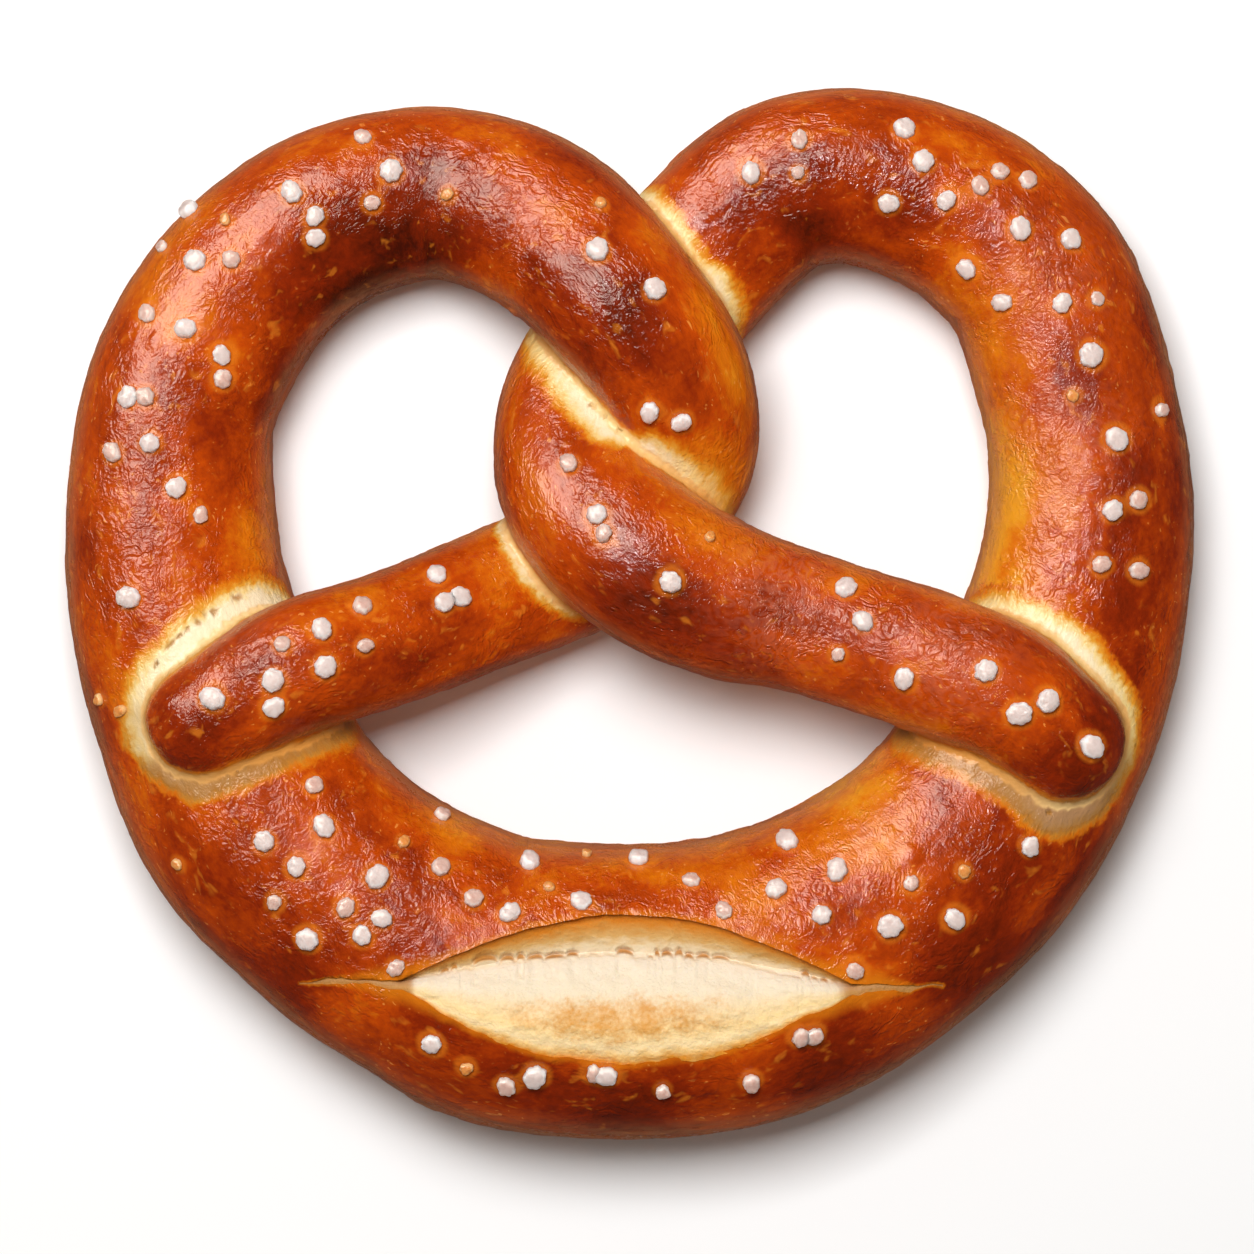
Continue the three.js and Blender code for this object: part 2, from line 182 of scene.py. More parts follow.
# %% Three stretches that don't cross themselves, remeshed into one skin
VOXEL = 0.56
cuts = [0, distance_at(SPANS["leftLobe"][0]), distance_at(SPANS["rightLobe"][0] + 3), LENGTH]
points, faces = [], []
for start, end in zip(cuts, cuts[1:]):
    stretch_points, stretch_faces = skin_over(rope_between(start, end))
    offset = sum(map(len, points))
    points.append(stretch_points)
    faces += [[corner + offset for corner in face] for face in stretch_faces]
crust = solid("crust", np.vstack(points), faces)


def applied(obj):
    """Turns an object's modifiers into plain mesh."""
    graph = bpy.context.evaluated_depsgraph_get()
    old = obj.data
    obj.data = bpy.data.meshes.new_from_object(obj.evaluated_get(graph), depsgraph=graph)
    obj.modifiers.clear()
    bpy.data.meshes.remove(old)
    return obj


remesh = crust.modifiers.new("one skin", "REMESH")
remesh.mode = "VOXEL"
remesh.voxel_size = VOXEL * MM
applied(crust)
print("the dough has", len(crust.data.polygons), "small faces")


# %% Reading and writing a mesh's points as arrays
def corners(mesh):
    flat = np.empty(len(mesh.vertices) * 3, np.float32)
    mesh.vertices.foreach_get("co", flat)
    return flat.reshape(-1, 3).astype(float) / MM


def move_corners(mesh, places):
    mesh.vertices.foreach_set("co", (places * MM).astype(np.float32).ravel())
    mesh.update()


def store(mesh, name, values):
    """Keeps a number or a vector for each point of the mesh as a named attribute."""
    kind, field = ("FLOAT", "value") if values.ndim == 1 else ("FLOAT_VECTOR", "vector")
    layer = mesh.attributes.get(name) or mesh.attributes.new(name, kind, "POINT")
    layer.data.foreach_set(field, values.astype(np.float32).ravel())


# %% Which part of the rope each point belongs to
APART = 30  # two places are different parts of the rope if they are this far apart along it
SEARCH = 2.0  # from one sample of the rope to the next
OVERLAP = 1.3  # each sample takes the points up to this many steps ahead and behind
LOOK = 26  # and up to this far off
INNERMOST = 0.05  # nearer to the rope's middle than this share of its girth, all points count alike
REFINED = 3  # how often each point's place along the rope is worked out anew


def rope_places(places):
    """For each point: the distance along the rope, its place in the section, how far out of its
    own skin it lies, how far off the nearest other part is, and how much higher that part lies."""
    samples = np.linspace(TIP, LENGTH - TIP, int(LENGTH / SEARCH))
    middles, alongs, sides, ups, widths, heights = section(samples)
    own = np.full(len(places), np.inf)
    best = np.zeros(len(places))
    other, level = np.full(len(places), float(LOOK)), np.zeros(len(places))
    order = np.argsort(places[:, 0])
    sorted_x = places[order, 0]
    for second in (False, True):
        for s, middle, along, side, up, wide, high in zip(
            samples, middles, alongs, sides, ups, widths, heights
        ):
            lo, hi = np.searchsorted(sorted_x, [middle[0] - LOOK, middle[0] + LOOK])
            near = order[lo:hi]
            near = near[np.abs(places[near, 1] - middle[1]) < LOOK]
            away = places[near] - middle
            ahead = away @ along
            on_tip = (ahead < 0) & (s == samples[0]) | (ahead > 0) & (s == samples[-1])
            keep = (np.abs(ahead) < SEARCH * OVERLAP) | on_tip
            if second:
                keep &= np.abs(s - best[near]) > APART
            near, away, ahead, on_tip = near[keep], away[keep], ahead[keep], on_tip[keep]
            past_tip = np.where(on_tip, ahead / TIP, 0)
            reach = np.hypot(np.hypot(away @ side / wide, away @ up / high), past_tip)
            gap = np.linalg.norm(away, axis=1) * (1 - 1 / np.maximum(reach, INNERMOST))
            if second:
                closer = gap < other[near]
                other[near[closer]], level[near[closer]] = gap[closer], middle[2]
            else:
                better = gap < own[near]
                own[near[better]] = gap[better]
                best[near[better]] = s + ahead[better]
    for _ in range(REFINED):
        middle, along, *_ = section(best)
        best = np.clip(best + ((places - middle) * along).sum(1), 0, LENGTH)
    middle, along, side, up, wide, high = section(best)
    away = places - middle
    across, above = (away * side).sum(1), (away * up).sum(1)
    wide, high = np.maximum(wide, 1), np.maximum(high, 1)
    power = 2 / FULLNESS
    reach = (np.abs(across / wide) ** power + np.abs(above / high) ** power) ** (FULLNESS / 2)
    out = np.hypot(across, above) * (1 - 1 / np.maximum(reach, INNERMOST))
    rise = np.where(other < LOOK, level - middle[:, 2], 0)
    return best, across, above, across / wide, above / high, out, other, rise


# %% Soften the grooves where two parts touch
def edge_ends(mesh):
    pairs = np.empty(len(mesh.edges) * 2, np.int32)
    mesh.edges.foreach_get("vertices", pairs)
    return pairs.reshape(-1, 2).T


def neighbours_mean(mesh, rows):
    """The mean of each point's neighbours, for every column of rows."""
    a, b = edge_ends(mesh)
    count = np.bincount(a, minlength=len(rows)) + np.bincount(b, minlength=len(rows))
    total = [np.bincount(a, column[b], len(rows)) + np.bincount(b, column[a], len(rows))
             for column in rows.T]
    return np.stack(total, 1) / count[:, None]


def smoothly(value, low, high):
    share = np.clip((value - low) / (high - low), 0, 1)
    return share * share * (3 - 2 * share)


SOFTENED = ((3.2, 3), (1.0, 4))  # how far from where two parts touch, and how many times
EASE = 0.7  # of the way to the neighbours' mean each time
skin = corners(crust.data)
*_, other, _ = rope_places(skin)
for reach, passes in SOFTENED:
    softness = (1 - smoothly(other, 0.2, reach))[:, None]
    for _ in range(passes):
        skin += EASE * softness * (neighbours_mean(crust.data, skin) - skin)
skin[:, 2] = np.maximum(skin[:, 2], 0)  # it bakes flat on its tray
move_corners(crust.data, skin)
print(int((softness > 0.5).sum()), "points lie in a groove")

# %% [markdown]
# ## A shorthand for node trees
# Both Geometry Nodes and materials are trees of small operations. Drawing them by hand is clear on
# a screen but long in a script, so one class lets sums on a node's output be written as sums, and
# one method adds any other node: its settings first, then the values or wires of its sockets.

# %% Wires with arithmetic, and one way to add a node
class Tree:
    """A node tree that nodes are added to."""

    def __init__(self, nodes):
        self.nodes = nodes

    def add(self, kind, settings=None, sockets=None, out=0):
        made = self.nodes.nodes.new(kind)
        for name, value in (settings or {}).items():
            if name == "stops":
                self.fill_ramp(made.color_ramp, value)
            else:
                setattr(made, name, value)
        for name, value in (sockets or {}).items():
            socket = self.find(made.inputs, name)
            if isinstance(value, Wire):
                self.nodes.links.new(value.socket, socket)
            else:
                socket.default_value = value
        return Wire(self, self.find(made.outputs, out)) if made.outputs else None

    @staticmethod
    def find(sockets, name):
        usable = [s for s in sockets if not s.is_unavailable]
        return usable[name] if isinstance(name, int) else next(s for s in usable if s.name == name)

    @staticmethod
    def fill_ramp(ramp, stops):
        while len(ramp.elements) > 1:
            ramp.elements.remove(ramp.elements[-1])
        for number, (place, colour) in enumerate(stops):
            element = ramp.elements.new(place) if number else ramp.elements[0]
            element.position, element.color = place, colour


class Wire:
    """An output socket. Arithmetic on it adds Math nodes."""

    def __init__(self, tree, socket):
        self.tree, self.socket = tree, socket

    def maths(self, operation, *values):
        settings = {"operation": operation}
        return self.tree.add("ShaderNodeMath", settings, dict(enumerate(values)))

    def __add__(self, other):
        return self.maths("ADD", self, other)

    def __sub__(self, other):
        return self.maths("SUBTRACT", self, other)

    def __rsub__(self, other):
        return self.maths("SUBTRACT", other, self)

    def __mul__(self, other):
        return self.maths("MULTIPLY", self, other)

    def __truediv__(self, other):
        return self.maths("DIVIDE", self, other)

    def __pow__(self, other):
        return self.maths("POWER", self, other)

    __radd__, __rmul__ = __add__, __mul__

    def size(self):
        return self.maths("ABSOLUTE", self)

    def wave(self, turns):
        return self.maths("SINE", self * turns)

    def most(self, other):
        return self.maths("MAXIMUM", self, other)

    def rise(self, low, high):
        """0 below low, 1 above high, and a soft slope between; low may be the larger."""
        if low > high:
            return 1 - self.rise(high, low)
        return self.tree.add(
            "ShaderNodeMapRange", {"interpolation_type": "SMOOTHSTEP"},
            {"Value": self, "From Min": low, "From Max": high},
        )


# %% [markdown]
# ## The skin's relief
# A pretzel's skin isn't smooth: it has long wrinkles that follow the rope, low swellings, and
# blisters where steam lifted it. Sculpting them by hand can't be repeated, and a bump map alone
# leaves the outline smooth. Geometry Nodes push the skin in and out by noise instead. The noise
# reads each point's place on the straightened rope, so that wrinkles follow every bend.

# %% Each point's place on the straightened rope, kept on the mesh
def mark_rope(obj):
    places = corners(obj.data)
    distance, across, above, side_share, up_share, out, other, rise = rope_places(places)
    store(obj.data, "rope", np.stack([distance, across, above], 1) * MM)
    store(obj.data, "section", np.stack([side_share, up_share, other * MM], 1))
    return places, distance, out, rise


mark_rope(crust)


# %% A Geometry Nodes tree for relief, with named inputs
def geometry_tree(name, sizes):
    """An empty tree with a Geometry input and output and one number input for each name."""
    nodes = bpy.data.node_groups.new(name, "GeometryNodeTree")
    nodes.interface.new_socket("Geometry", in_out="INPUT", socket_type="NodeSocketGeometry")
    for label in sizes:
        nodes.interface.new_socket(label, in_out="INPUT", socket_type="NodeSocketFloat")
    nodes.interface.new_socket("Geometry", in_out="OUTPUT", socket_type="NodeSocketGeometry")
    tree = Tree(nodes)
    start = nodes.nodes.new("NodeGroupInput")
    wires = {label: Wire(tree, start.outputs[label]) for label in ["Geometry", *sizes]}
    return tree, wires


def use_tree(obj, tree, sizes):
    """Adds the tree to an object and sets its inputs by the sockets' identifiers."""
    modifier = obj.modifiers.new(tree.nodes.name, "NODES")
    modifier.node_group = tree.nodes
    for socket in tree.nodes.interface.items_tree:
        if socket.in_out == "INPUT" and socket.name in sizes:
            modifier[socket.identifier] = float(sizes[socket.name])


RELIEF = {
    "Swell Height": 0.45 * MM, "Swell Size": 17 * MM,
    "Wrinkle Depth": 0.17 * MM, "Wrinkle Spacing": 3.2 * MM, "Wrinkle Length": 5,
    "Fold Depth": 0.1 * MM, "Fold Spacing": 1.5 * MM,
    "Blister Height": 0.34 * MM, "Blister Spacing": 7.5 * MM, "Seed": 4,
}
tree, wire = geometry_tree("crust relief", RELIEF)
add = tree.add
print(len(RELIEF), "named inputs for the relief")


# %% Noise in lumps, and vectors that are stretched, shifted or taken apart
def noise(add, vector, spacing, seed=0.0, detail=2.0, kind="FBM"):
    """Noise whose lumps are about spacing apart."""
    scale = 1 / spacing if isinstance(spacing, float) else spacing ** -1
    return add("ShaderNodeTexNoise", {"noise_dimensions": "4D", "noise_type": kind},
               {"Vector": vector, "W": seed, "Scale": scale, "Detail": detail})


def scaled(add, vector, factors):
    return add("ShaderNodeVectorMath", {"operation": "MULTIPLY"}, {0: vector, 1: factors})


def moved(add, vector, by, amount):
    """A vector shifted by a colour's three noises, so that straight patterns turn wavy."""
    centred = add("ShaderNodeVectorMath", {"operation": "SUBTRACT"}, {0: by, 1: (0.5, 0.5, 0.5)})
    shift = add("ShaderNodeVectorMath", {"operation": "SCALE"}, {0: centred, "Scale": amount})
    return add("ShaderNodeVectorMath", {"operation": "ADD"}, {0: vector, 1: shift})


def parts(add, vector):
    """A vector's three numbers."""
    return [add("ShaderNodeSeparateXYZ", None, {0: vector}, out) for out in "XYZ"]


def attribute(name, kind="FLOAT_VECTOR"):
    return add("GeometryNodeInputNamedAttribute", {"data_type": kind}, {"Name": name})


# %% Swellings, wrinkles and folds
rope = attribute("rope")
part = add("ShaderNodeSeparateXYZ", None, {0: attribute("section")}, out="Y")
height_above = add("ShaderNodeSeparateXYZ", None, {0: add("GeometryNodeInputPosition")}, out="Z")
seed = wire["Seed"]

swell = noise(add, rope, wire["Swell Size"], seed) - 0.5
wave = add("ShaderNodeTexNoise", {"noise_dimensions": "4D"},
           {"Vector": rope, "W": seed + 7, "Scale": 1 / (9 * MM)}, out="Color")
wavy = moved(add, rope, wave, 5 * MM)
squeeze = add("ShaderNodeCombineXYZ", None, {"X": wire["Wrinkle Length"] ** -1, "Y": 1.0, "Z": 1.0})
along = scaled(add, wavy, squeeze)
ridge = (noise(add, along, wire["Wrinkle Spacing"], seed + 1, 1.5) * 2 - 1).size()
wrinkle = ridge.rise(0.0, 0.35) - 1
fold = (noise(add, scaled(add, wavy, (0.4, 1, 1)), wire["Fold Spacing"], seed + 2, 1.0) * 2 - 1).size()
low_side = part.rise(0.85, -0.3)
folds = (wrinkle * wire["Wrinkle Depth"] * (0.25 + low_side)
         + (fold.rise(0.0, 0.3) - 1) * wire["Fold Depth"])

# %% Blisters, and the push out of the skin
cell = {"Vector": rope, "W": seed + 3, "Scale": wire["Blister Spacing"] ** -1}
reach = add("ShaderNodeTexVoronoi", {"voronoi_dimensions": "4D"}, cell)
luck = add("ShaderNodeSeparateXYZ", None,
           {0: add("ShaderNodeTexVoronoi", {"voronoi_dimensions": "4D"}, cell, out="Color")})
radius = luck.rise(0.35, 1.0) * 0.24 + 0.02
blister = (1 - reach / radius).most(0.0) ** 0.6 * luck.rise(0.3, 0.45)
relief = swell * 2 * wire["Swell Height"] + folds + blister * wire["Blister Height"] * (0.35 + luck)
lift = relief * height_above.rise(0.4 * MM, 3 * MM)
push = add("ShaderNodeVectorMath", {"operation": "SCALE"}, {0: add("GeometryNodeInputNormal"), "Scale": lift})
pushed = add("GeometryNodeSetPosition", None, {"Geometry": wire["Geometry"], "Offset": push})
add("NodeGroupOutput", None, {"Geometry": pushed})
use_tree(crust, tree, RELIEF)
applied(crust)
print("relief on", len(crust.data.vertices), "points")

# %% [markdown]
# ## The burst
# The baker slashes the belly, and in the oven it bursts open there: a lens with a crack running on
# from each end. The upper lip stands over a smooth wall of crumb, a torn line lies at its foot,
# and from there the crumb swells up to the lower lip. The opening is cut from the crust with a
# Boolean, because its lips are crisp and ragged, and the crumb is laid in as a piece of its own.

# %% Even noise for meshes built in Python
def lumps(places, size, seed=0):
    """Smooth random heights from -1 to 1 at places, in lumps about as large as size."""
    places = np.asarray(places, float) / size + 31.7 * seed
    cell = np.floor(places)
    share = places - cell
    share = share**3 * (share * (share * 6 - 15) + 10)
    total = np.zeros(places.shape[:-1])
    spread = np.array([127.1, 311.7, 74.7])[: places.shape[-1]]
    for corner in itertools.product((0, 1), repeat=places.shape[-1]):
        corner = np.array(corner)
        weight = np.prod(np.where(corner == 1, share, 1 - share), axis=-1)
        total += weight * (np.sin((cell + corner) @ spread) * 43758.5453 % 1)
    return 2 * total - 1


# %% The burst's shape seen from above, and how deep the crumb lies
BURST = {"middle": (-0.3, -52), "halfLength": 32.4, "halfWidth": 10.2, "sharpness": 1.1,
         "left": 45.5, "right": 44, "crackHalfWidth": 0.7, "crackDepth": 0.38, "lipStep": 0.5,
         "valleyDepth": 4.2, "valleyShare": 0.27, "wallTop": 0.12, "bulge": 0.9, "endRise": 0.6,
         "leftLift": 0.9}  # the left end of the burst bends up by this


def openness(u, power):
    return np.maximum(0, 1 - (u / BURST["halfLength"]) ** 2) ** power


def burst_half_width(u):
    reach = np.where(u < 0, BURST["left"], BURST["right"])
    crack = BURST["crackHalfWidth"] * np.sqrt(np.maximum(0, 1 - np.abs(u / reach) ** 4))
    return np.maximum(BURST["halfWidth"] * openness(u, BURST["sharpness"]), crack)


def crumb_depth(u, share):
    """How far the crumb lies under the crust, from the upper lip (0) to the lower lip (1)."""
    opened = openness(u, BURST["endRise"])
    behind = np.clip((share - BURST["valleyShare"]) / (1 - BURST["valleyShare"]), 0, 1)
    down = np.clip(share / BURST["valleyShare"], 0, 1)
    wall = BURST["valleyDepth"] * (BURST["wallTop"] + (1 - BURST["wallTop"]) * down)
    dome = BURST["valleyDepth"] * (1 - behind) ** 3 - BURST["bulge"] * np.sin(np.pi * behind)
    deep = np.where(share < BURST["valleyShare"], wall, dome)
    return BURST["crackDepth"] * (1 - opened) + opened * (deep + BURST["lipStep"])


# %% The height of the belly's smooth crust over a place on the table
belly_at = np.arange(distance_at(SPANS["belly"][0] - 1), distance_at(SPANS["belly"][1] + 1), 0.5)
belly_middle, _, _, _, belly_wide, belly_high = section(belly_at)


def crust_height(x, y):
    flat_x, flat_y = np.ravel(x), np.ravel(y)
    heights = np.empty(len(flat_x))
    for start in range(0, len(flat_x), 4000):
        block = slice(start, start + 4000)
        gaps = np.hypot(flat_x[block, None] - belly_middle[:, 0],
                        flat_y[block, None] - belly_middle[:, 1])
        best = gaps.argmin(1)
        share = np.minimum(gaps.min(1) / belly_wide[best], 1)
        lift = (1 - share ** (2 / FULLNESS)) ** (FULLNESS / 2)
        heights[block] = belly_middle[best, 2] + belly_high[best] * lift
    return heights.reshape(np.shape(x))


# %% Its ragged lips
NARROWEST = 0.25  # no crack is narrower than this


def lips(u):
    """The y of the upper and the lower lip at a distance along the burst from its middle."""
    half = np.maximum(burst_half_width(u), BURST["crackHalfWidth"] / 3)
    along = np.stack([u, 0 * u], -1)
    upper = 0.22 * lumps(along, 5.5, 1) + 0.1 * lumps(along, 1.3, 2)
    lower = 0.3 * lumps(along, 3.5, 3) + 0.16 * lumps(along, 1.0, 4)
    tail = smoothly(np.abs(u), 31, 35)
    middle = (BURST["middle"][1] + BURST["leftLift"] * smoothly(-u, 12, BURST["left"])
              + 0.5 * tail * lumps(along, 4, 6))
    gape = np.maximum(2 * half + upper - lower - 0.5 * tail * np.abs(lumps(along, 2.4, 7)), NARROWEST)
    centre = middle + (upper + lower) / 2
    return centre + gape / 2, centre - gape / 2


def burst_block(name, columns, shares, top, under, margin):
    """A closed lens-shaped block: top and under give its heights at (x, y, u, share)."""
    turn = np.linspace(0, np.pi, columns)
    u = -np.cos(turn) * np.where(turn < np.pi / 2, BURST["left"], BURST["right"])
    upper, lower = lips(u)
    rows_up, rows_down = shares
    rings = []
    for share in (rows_up, rows_down[::-1]):
        grid_u, grid_share = np.meshgrid(u, share, indexing="ij")
        y = (upper + margin)[:, None] * (1 - grid_share) + (lower - margin)[:, None] * grid_share
        x = BURST["middle"][0] + grid_u
        shape = top if share is rows_up else under
        rings.append(np.stack([x, y, shape(x, y, grid_u, grid_share)], -1))
    return solid(name, *skin_over(np.concatenate(rings, 1)))


HEADROOM = 5  # the cutter stands this far over the crust
POCKET = 1.3  # the pocket is cut this much deeper than the crumb's top
even = np.linspace(0, 1, 14)
cutter = burst_block(
    "burst_cutter", 260, (even, even),
    lambda x, y, u, share: crust_height(x, y) + HEADROOM,
    lambda x, y, u, share: crust_height(x, y) - crumb_depth(u, share) - POCKET,
    0.0,
)
print("the burst reaches", round(float(lips(np.zeros(1))[0][0]), 1), "mm at its upper lip")

# %% Cut the pocket, then thin the mesh out where it is plain
FACES = 194000  # triangles of the whole crust
cut = crust.modifiers.new("burst", "BOOLEAN")
cut.operation, cut.solver, cut.object = "DIFFERENCE", "MANIFOLD", cutter
applied(crust)
bpy.data.objects.remove(cutter)
triangles = sum(len(face.vertices) - 2 for face in crust.data.polygons)
print("the cut crust has", triangles, "triangles")
*_, other, _ = rope_places(corners(crust.data))
plain = crust.vertex_groups.new(name="plain")
for level in (0.0, 0.5, 1.0):
    chosen = np.flatnonzero(np.round(smoothly(other, 0.4, 3) * 2) / 2 == level)
    plain.add(chosen.tolist(), level, "REPLACE")
thin = crust.modifiers.new("thin", "DECIMATE")
thin.ratio = FACES / triangles
thin.vertex_group = plain.name
thin.use_collapse_triangulate = True
applied(crust)
crust.vertex_groups.clear()

# %% Close the few edges that the thinning left open
weld = bmesh.new()
weld.from_mesh(crust.data)
doubled = [min(edge.link_faces, key=lambda face: face.calc_area())
           for edge in weld.edges if len(edge.link_faces) > 2]
bmesh.ops.delete(weld, geom=list(set(doubled)), context="FACES")
bmesh.ops.holes_fill(weld, edges=[edge for edge in weld.edges if edge.is_boundary], sides=8)
bmesh.ops.triangulate(weld, faces=[face for face in weld.faces if len(face.verts) > 3])
print("edges still open:", sum(len(edge.link_faces) != 2 for edge in weld.edges))
weld.to_mesh(crust.data)
weld.free()
print("the crust has", len(crust.data.polygons), "triangles")

# %% [markdown]
# ## Where the salt lies
# Coarse salt is scattered by hand, so no rule gives its places: each grain is listed by where it
# lies seen from above and how large it is, as on the solid. One loop finds the height of the crust
# there and the way out of it. The crust needs the list too, because it stays golden round a grain.

# %% The grains on each stretch, each as x, y and radius
SALT = {
    "leftArm": [
        (-29.6, 4.2, 1.4), (-29.2, 0.1, 1.45), (-26.9, 0.9, 1.5), (-39.6, 0.2, 1.35), (-44.4, -3, 1.5),
        (-48.5, -4.7, 1.2), (-39.9, -5.4, 1.15), (-43.9, -8.1, 1.6), (-49.1, -9.3, 1.65),
        (-48.7, -12.7, 1.5), (-56.7, -11.4, 1.75),
    ],
    "leftOver": [
        (-2.3, 47.9, 1.65), (3.7, 44.6, 1.6), (1.7, 31.2, 1.4), (5.8, 31.1, 1.4), (-1.5, 54.3, 0.8),
    ],
    "leftLobe": [
        (-62.1, 57.3, 1.5), (-65.8, 51.2, 1), (-60.9, 48.9, 1.6), (-55.5, 49.4, 1.3), (-47.3, 58.8, 1.55),
        (-44, 55.4, 1.4), (-44.1, 52.4, 1.4), (-36.8, 57.2, 1.15), (-37.8, 66.6, 1.15),
        (-33.8, 61.8, 1.65), (-67.3, 41.9, 1.3), (-61.9, 39.7, 1.5), (-57.1, 35.8, 1.4),
        (-56.8, 32.8, 1.35), (-21.5, 57.4, 0.95), (-56.6, 54.9, 0.8),
    ],
    "leftSide": [
        (-69.9, 30.1, 1.5), (-67.5, 30, 1.35), (-72, 22.4, 1.35), (-66.8, 23.2, 1.4), (-63.1, 17.3, 1.5),
        (-59.8, 13.2, 1.15), (-69.5, 1.8, 1.7), (-70.7, -13.9, 0.95), (-74, -12.6, 0.8),
    ],
    "belly": [
        (-43.5, -24.2, 1.25), (-41.8, -30, 1.6), (-50.3, -31.8, 1.45), (-45.5, -35.5, 1.4),
        (-34.4, -36.8, 1.7), (-62.7, -35.2, 0.8), (-48.7, -40.3, 1.1), (-38.6, -41.1, 1.35),
        (-33.5, -42.6, 1.4), (-36.1, -45, 1.4), (-43.9, -45.6, 1.6), (-31.7, -49.2, 1.25),
        (-31, -32, 0.9), (-26, -28.4, 1.1), (-25.7, -35.5, 1.35), (-21.2, -39.7, 1.35),
        (-13.7, -34.7, 1.5), (-16.3, -41.6, 1.45), (-11, -38, 0.8), (-6.4, -40, 1.45),
        (-5.9, -33.1, 0.8), (1.5, -34.3, 1.4), (8.5, -37.2, 1.2), (12.8, -41.3, 1.25),
        (21.9, -31.9, 1.6), (28.5, -35.9, 1.6), (20.2, -38.4, 1.5), (26, -42.1, 1.4), (38.6, -37.7, 1.1),
        (45.8, -36.4, 0.95), (35.7, -43.5, 1.7), (44.6, -42.7, 1.45), (30.7, -49.7, 1.2),
        (55.4, -32.7, 1.4), (-27, -59.6, 1.4), (-22.2, -63, 0.95), (-17, -65.4, 1.35),
        (-13.1, -64, 1.65), (-4.9, -63.6, 1.2), (-3, -63.9, 1.5), (4.6, -66.2, 1.05), (16.8, -65, 1.35),
        (23.6, -58.7, 1.3), (25.2, -58.6, 1.3),
    ],
    "rightSide": [
        (62, 30.1, 0.95), (74.6, 28.3, 1.05), (68, 23.9, 1.65), (71, 15.4, 1.3), (67.4, 13.8, 1.5),
        (65.8, 6.7, 1.35), (71, 5.9, 1.35),
    ],
    "rightLobe": [
        (64.5, 35.9, 1.75), (65.5, 43.7, 1), (60.5, 43.2, 1.4), (52.4, 43.4, 1.4), (47.4, 48.2, 1.4),
        (61.8, 52.2, 1.5), (54.7, 53.7, 1.6), (55.9, 60.6, 1.3), (52.1, 61.7, 1.25), (49.4, 59.6, 1.3),
        (45, 57.5, 1.4), (36.8, 57.4, 1.45), (41.7, 63.1, 1.55), (38.9, 67.8, 1.5), (24.3, 66.4, 1.25),
        (24.4, 61.9, 1), (17.5, 62, 1.5),
    ],
    "rightOver": [
        (-6.5, 16.6, 1.35), (-2.2, 11.6, 1.45), (-1.6, 9.5, 1.25), (5.8, 4.3, 1.55), (10.8, 10.7, 0.8),
    ],
    "rightArm": [
        (31.2, 3, 1.5), (33.7, -1.6, 1.5), (30.4, -6.1, 1), (39.6, -9.5, 1.5), (49.9, -8.3, 1.6),
        (56.6, -11.3, 1.65), (53.2, -13.4, 1.75), (62.4, -17, 1.7),
    ],
}
FLATNESS, SUNK = 0.74, 0.35  # a grain's height to its width, and the share of it below the crust
LOWEST_GRAIN = 0.93  # none lies further down the rope's side than this share of its half width

# %% Stand each one on the crust where the rope runs nearest
grains = []
for name, listed in SALT.items():
    first, last = SPANS[name]
    start, end = distance_at(max(first - 1, 0)), distance_at(min(last + 1, len(STATIONS) - 1))
    at = np.arange(start, end, 0.5)
    middle, _, side, up, wide, high = section(at)
    for x, y, radius in listed:
        i = np.hypot(middle[:, 0] - x, middle[:, 1] - y).argmin()
        across = ((x - middle[i, 0]) * side[i, 0] + (y - middle[i, 1]) * side[i, 1]) / wide[i]
        angle = np.arccos(np.sign(across) * min(abs(across), LOWEST_GRAIN) ** (1 / FULLNESS))
        outward = unit(side[i] * np.cos(angle) / wide[i] + up[i] * np.sin(angle) / high[i])
        grains.append((skin_point(at[i], angle), outward, radius))
print(len(grains), "grains of salt")

# %% [markdown]
# ## Where the skin is pale
# Where one part of the rope lies on another, the skin of the lower one stays pale: no lye and
# little heat got there, and it tore a little as the dough rose. Each seam is a short line of
# places with a width, and the skin of the lower part is pale up to that width from the upper one.

